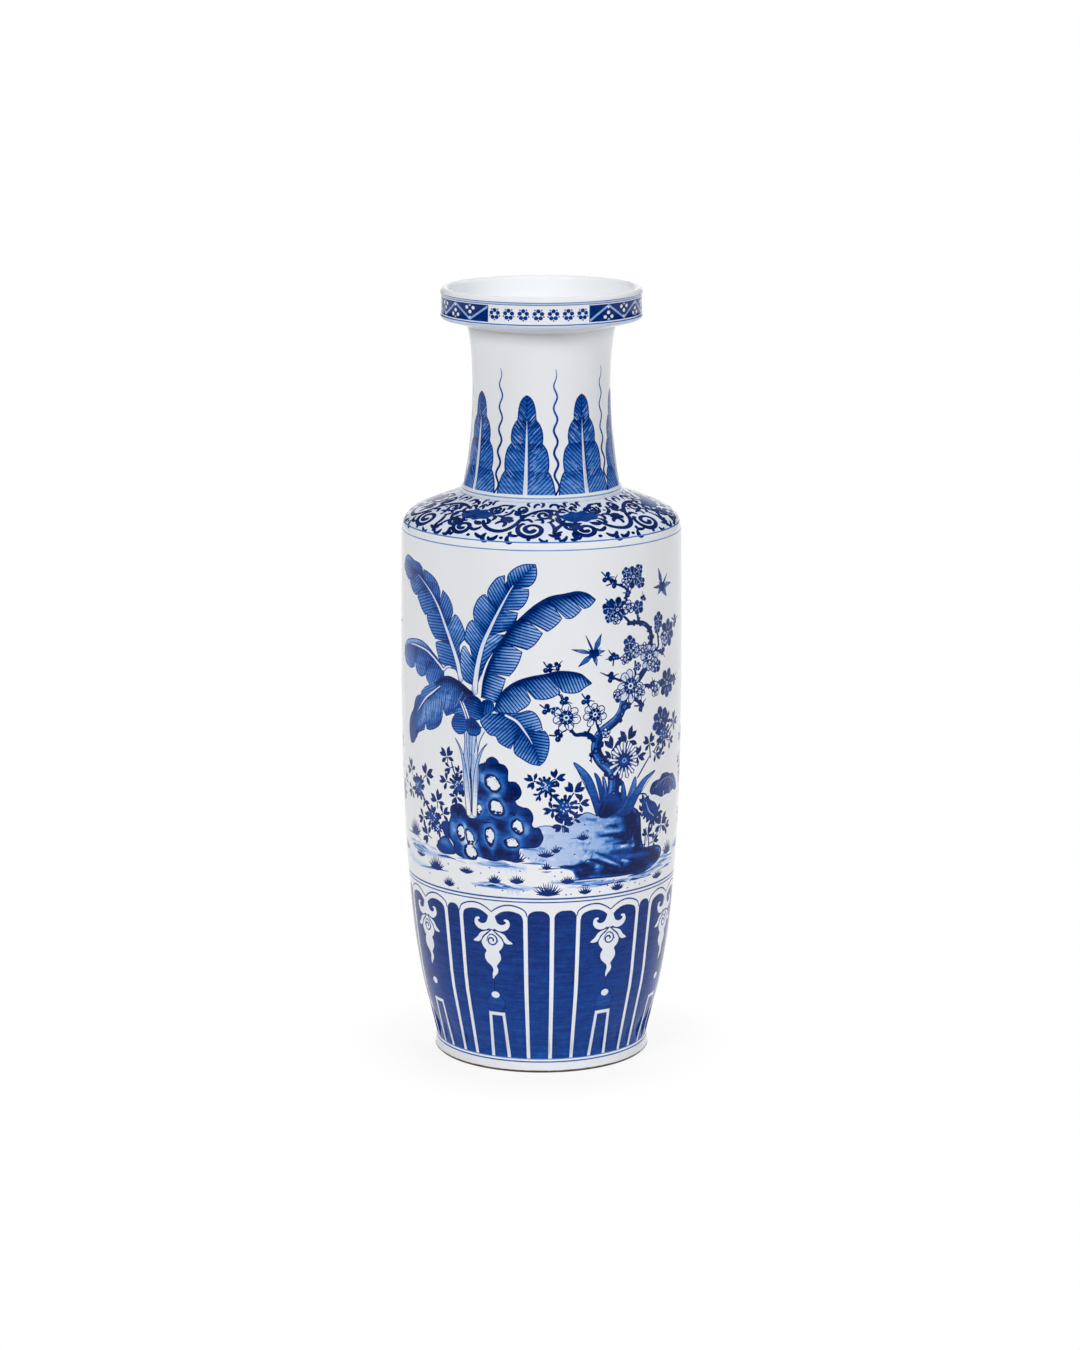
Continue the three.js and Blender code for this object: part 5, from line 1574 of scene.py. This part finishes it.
# Each corner takes the wall's own direction, read a little inside its face, so a crease in
# the outline stays a crease and the cut faces leave no mark in the shine
def setNormals(mesh, section):
    count = len(mesh.loops)
    sheet = np.empty(count * 2, np.float32)
    mesh.attributes["sheet"].data.foreach_get("vector", sheet)
    sheet = sheet.reshape(-1, 2).astype(float)
    starts = np.empty(len(mesh.polygons), np.int32)
    mesh.polygons.foreach_get("loop_start", starts)
    sizes = np.diff(np.r_[starts, count])
    face = np.repeat(np.arange(len(starts)), sizes)
    middle = np.add.reduceat(sheet, starts) / sizes[:, None]
    y = sheet[:, 1] + 0.15 * (middle[face, 1] - sheet[:, 1])
    p = section.outline
    along = lengths(p)
    way = np.diff(p, axis=0)
    way /= np.hypot(*way.T)[:, None]
    centres = (along[1:] + along[:-1]) / 2
    at = y - section.start
    # Even out the direction between the outline's short straight steps, but not at a crease
    i = np.clip(np.searchsorted(along, at) - 1, 0, len(way) - 1)
    j = np.clip(np.where(at > centres[i], i + 1, i - 1), 0, len(way) - 1)
    share = np.clip(np.abs(at - centres[i]) / np.maximum(np.abs(centres[j] - centres[i]), 1e-9),
                    0, 1)
    share = np.where((way[i] * way[j]).sum(1) > cos(radians(12)), share, 0)
    d = way[i] * (1 - share[:, None]) + way[j] * share[:, None]
    d /= np.hypot(*d.T)[:, None]
    sine, cosine = np.sin(sheet[:, 0]), np.cos(sheet[:, 0])
    normals = np.stack([d[:, 1] * sine, -d[:, 1] * cosine, -d[:, 0]], 1)
    mesh.attributes.remove(mesh.attributes["sheet"])
    mesh.normals_split_custom_set(normals.tolist())


# Materials

def colour(hexCode):
    parts = [int(hexCode[i:i + 2], 16) / 255 for i in (1, 3, 5)]
    return (*(c / 12.92 if c <= 0.04045 else ((c + 0.055) / 1.055) ** 2.4 for c in parts), 1)


# Hard-paste porcelain, cobalt painted on the raw body under a clear glaze and fired once:
# the white leans to blue, the blue pools and speckles in the brush marks, and all of it
# lies under one hard wet shine. The foot's edge is wiped bare and burns brown, and its
# dark brown band is also painted contact shadow where the foot meets the floor.
glaze = {
    "blues": ((0, "#e9ebee"), (0.06, "#dbe3f0"), (0.18, "#b7c9e8"), (0.34, "#7fa5da"),
              (0.5, "#467bc3"), (0.64, "#1b59ac"), (0.78, "#093d8c"), (0.9, "#022a72"),
              (1, "#00154a")),
    "roughness": 0.1, "ior": 1.33, "mirror": 0.3,
    "bareFoot": "#5a4c40", "bareHeight": 1.7, "bareEdge": 0.3, "bareWander": 0.6,
    "bareRoughness": 0.6,
    "streakHigh": 1.6, "streakLong": 14, "streakDepth": 0.26, "poolSize": 5, "poolDepth": 0.18,
    "speckSize": 0.9, "speckDepth": 0.12, "hatchFrom": 0.2, "hatchFull": 0.38,
    "rippleSize": 22, "rippleDepth": 0.06, "rippleStrength": 0.35,
}


def makeGlaze(g):
    m = bpy.data.materials.new("underglazeBluePorcelain")
    t = emptyTree(m)
    place = addNode(t, "TexCoord").outputs["Object"]
    paint = addNode(t, "Attribute", {"attribute_name": "paint"})
    parts = addNode(t, "SeparateXYZ", None, paint.outputs["Vector"])
    tone, phase, depth = parts.outputs
    # Hatching: a thin pulse half way between the phase's whole numbers
    wave = addNode(t, "Math", "PINGPONG", phase, 0.5)
    pulse = addNode(t, "MapRange", eased, wave, g.hatchFrom, g.hatchFull)
    hatched = addNode(t, "Math", "MULTIPLY_ADD", pulse, depth, tone)
    # Brush hairs leave streaks round the wall, and the cobalt pools and speckles
    stretched = addNode(t, "Mapping", Vector=place,
                        Scale=(1000 / g.streakLong, 1000 / g.streakLong, 1000 / g.streakHigh))
    streak = addNode(t, "TexNoise", Vector=stretched, Scale=1, Detail=2, Roughness=0.55)
    pool = addNode(t, "TexNoise", Vector=place, Scale=1000 / g.poolSize, Detail=3, Roughness=0.6)
    speck = addNode(t, "TexNoise", Vector=place, Scale=1000 / g.speckSize, Detail=1)
    uneven = -(g.streakDepth + g.poolDepth + g.speckDepth) / 2
    for noise, share in ((streak, g.streakDepth), (pool, g.poolDepth), (speck, g.speckDepth)):
        uneven = addNode(t, "Math", "MULTIPLY_ADD", noise, share, uneven)
    painted = addNode(t, "MapRange", eased, tone, 0.04, 0.45)
    final = addNode(t, "Math", {"operation": "MULTIPLY_ADD", "use_clamp": True},
                    uneven, painted, hatched)
    ramp = addNode(t, "ValToRGB", None, final)
    stops = ramp.color_ramp.elements
    for where, _ in g.blues[2:]:
        stops.new(where)
    for stop, (where, hexCode) in zip(stops, g.blues):
        stop.position, stop.color = where, colour(hexCode)
    # Bare foot edge: the burnt bare body, whose dark brown is also painted contact shadow at the floor
    height = addNode(t, "SeparateXYZ", None, place).outputs["Z"]
    wandering = addNode(t, "Math", "MULTIPLY_ADD", pool, g.bareWander * mm, height)
    top = g.bareHeight + g.bareWander / 2
    bare = addNode(t, "MapRange", None, wandering, (top - g.bareEdge) * mm, top * mm, 1, 0)
    base = addNode(t, "Mix", {"data_type": "RGBA"}, bare)
    t.links.new(ramp.outputs[0], base.inputs[6])
    base.inputs[7].default_value = colour(g.bareFoot)
    ripple = addNode(t, "TexNoise", Vector=place, Scale=1000 / g.rippleSize, Detail=2)
    bump = addNode(t, "Bump", Strength=g.rippleStrength, Distance=g.rippleDepth * mm, Height=ripple)
    rough = addNode(t, "Math", "MULTIPLY_ADD", bare, g.bareRoughness, g.roughness)
    shader = addNode(t, "BsdfPrincipled", Base_Color=base.outputs[2], Roughness=rough,
                     IOR=g.ior, Normal=bump, Specular_IOR_Level=g.mirror)
    addNode(t, "OutputMaterial", Surface=shader)
    return m


glazeMaterial = makeGlaze(Values(**glaze))
tree = wheelTree()
replaced = {"base": ["base_section"], "lowerBody": ["lower_body_section", "base_luting"],
            "upperBody": ["upper_body_section", "body_luting"],
            "shoulder": ["shoulder_section", "shoulder_luting"],
            "neck": ["neck_section", "neck_luting"], "mouth": ["mouth_section", "mouth_luting"]}
for name, section in sections.items():
    piece = turnSection(name + "Wall", section, glazeMaterial, tree)
    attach(piece, "root")
    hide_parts(*replaced[name])
    print(name, "turned:", len(piece.data.polygons), "faces")


# Floor, light and camera. The shadow on the floor fades to white between shadeNear and
# shadeFar, and lamps are (name, place, size, watts).
studio = {
    "floorRadius": 6, "floorFront": 0.6, "floor": "#f2f2f2", "shadeNear": 0.07,
    "shadeFar": 0.13, "shadeLight": 0.84, "roomLow": 0.03, "roomHigh": 0.14,
    "roomFrom": -0.2, "roomTo": 0.5, "whiteFrom": 0.9, "whiteFull": 0.995,
    "lamps": [("keySoftbox", (-1.2, -2, 1.5), (1, 1), 42),
              ("fillSoftbox", (1.8, -1.3, 1.2), (1.2, 1.4), 24),
              ("topSoftbox", (0, 0.3, 2.2), (1.6, 1.6), 12),
              ("backSoftbox", (0.4, 2.2, 1.4), (1.6, 1.2), 32)],
    "lampAim": (0, 0, 0.28), "distance": 2.4, "height": 0.7382, "pitch": 12.012,
    "focalPixels": 4114.7, "shiftPixels": -1.5, "imagePixels": 1350, "sensor": 36,
}


def makeFloor(s):
    mesh = bpy.data.meshes.new("floor")
    ring = [(s.floorRadius * cos(a), max(s.floorRadius * sin(a), -s.floorFront), 0)
            for a in np.linspace(0, fullTurn, 64, endpoint=False)]
    mesh.from_pydata(ring, [], [list(range(64))])
    floor = addObject("floor", mesh)
    m = bpy.data.materials.new("paperSweep")
    t = emptyTree(m)
    path = addNode(t, "LightPath").outputs
    seen = addNode(t, "Math", "MAXIMUM", path["Is Camera Ray"], path["Is Glossy Ray"])
    seen = addNode(t, "Math", "MAXIMUM", seen, path["Is Transmission Ray"])
    place = addNode(t, "TexCoord").outputs["Object"]
    far = addNode(t, "VectorMath", "LENGTH", place)
    away = addNode(t, "MapRange", eased, far.outputs["Value"], s.shadeNear, s.shadeFar, s.shadeLight, 1)
    part = addNode(t, "Math", "MULTIPLY", seen, away)
    paper = addNode(t, "BsdfDiffuse", Color=colour(s.floor))
    white = addNode(t, "Emission", Color=(1, 1, 1, 1), Strength=1)
    mixed = addNode(t, "MixShader", None, part, paper, white)
    addNode(t, "OutputMaterial", Surface=mixed)
    mesh.materials.append(m)


# White behind the vase, where the camera looks, and a dim room on the camera's side
def makeWorld(s):
    scene.world = bpy.data.worlds.new("softRoom")
    t = emptyTree(scene.world)
    path = addNode(t, "LightPath").outputs
    facing = addNode(t, "TexCoord").outputs["Generated"]
    way = addNode(t, "SeparateXYZ", None, facing).outputs
    behind = addNode(t, "MapRange", eased, way["Y"], s.whiteFrom, s.whiteFull)
    bent = addNode(t, "Math", "MAXIMUM", path["Is Glossy Ray"], path["Is Transmission Ray"])
    bent = addNode(t, "Math", "MULTIPLY", bent, behind)
    seen = addNode(t, "Math", "MAXIMUM", path["Is Camera Ray"], bent)
    room = addNode(t, "MapRange", None, way["Z"], s.roomFrom, s.roomTo, s.roomLow, s.roomHigh)
    strength = addNode(t, "MapRange", None, seen, 0, 1, room, 1)
    back = addNode(t, "Background", Color=(1, 1, 1, 1), Strength=strength)
    addNode(t, "OutputWorld", Surface=back)


def makeLamps(s):
    for name, place, size, watts in s.lamps:
        lamp = bpy.data.lights.new(name, "AREA")
        lamp.shape, lamp.energy = "RECTANGLE", watts
        lamp.size, lamp.size_y = size
        obj = addObject(name, lamp)
        obj.location = place
        aim = Vector(s.lampAim) - Vector(place)
        obj.rotation_euler = aim.to_track_quat("-Z", "Y").to_euler()
        obj.visible_glossy = False


def makeCamera(s):
    camera = bpy.data.cameras.new("camera")
    camera.sensor_fit, camera.sensor_height = "VERTICAL", s.sensor
    camera.lens = s.focalPixels / s.imagePixels * s.sensor
    camera.shift_x = s.shiftPixels / s.imagePixels
    scene.camera = addObject("camera", camera)
    scene.camera.location = (0, -s.distance, s.height)
    scene.camera.rotation_euler = (radians(90 - s.pitch), 0, 0)


for make in (makeFloor, makeWorld, makeLamps, makeCamera):
    make(Values(**studio))
scene.view_settings.view_transform = "Standard"
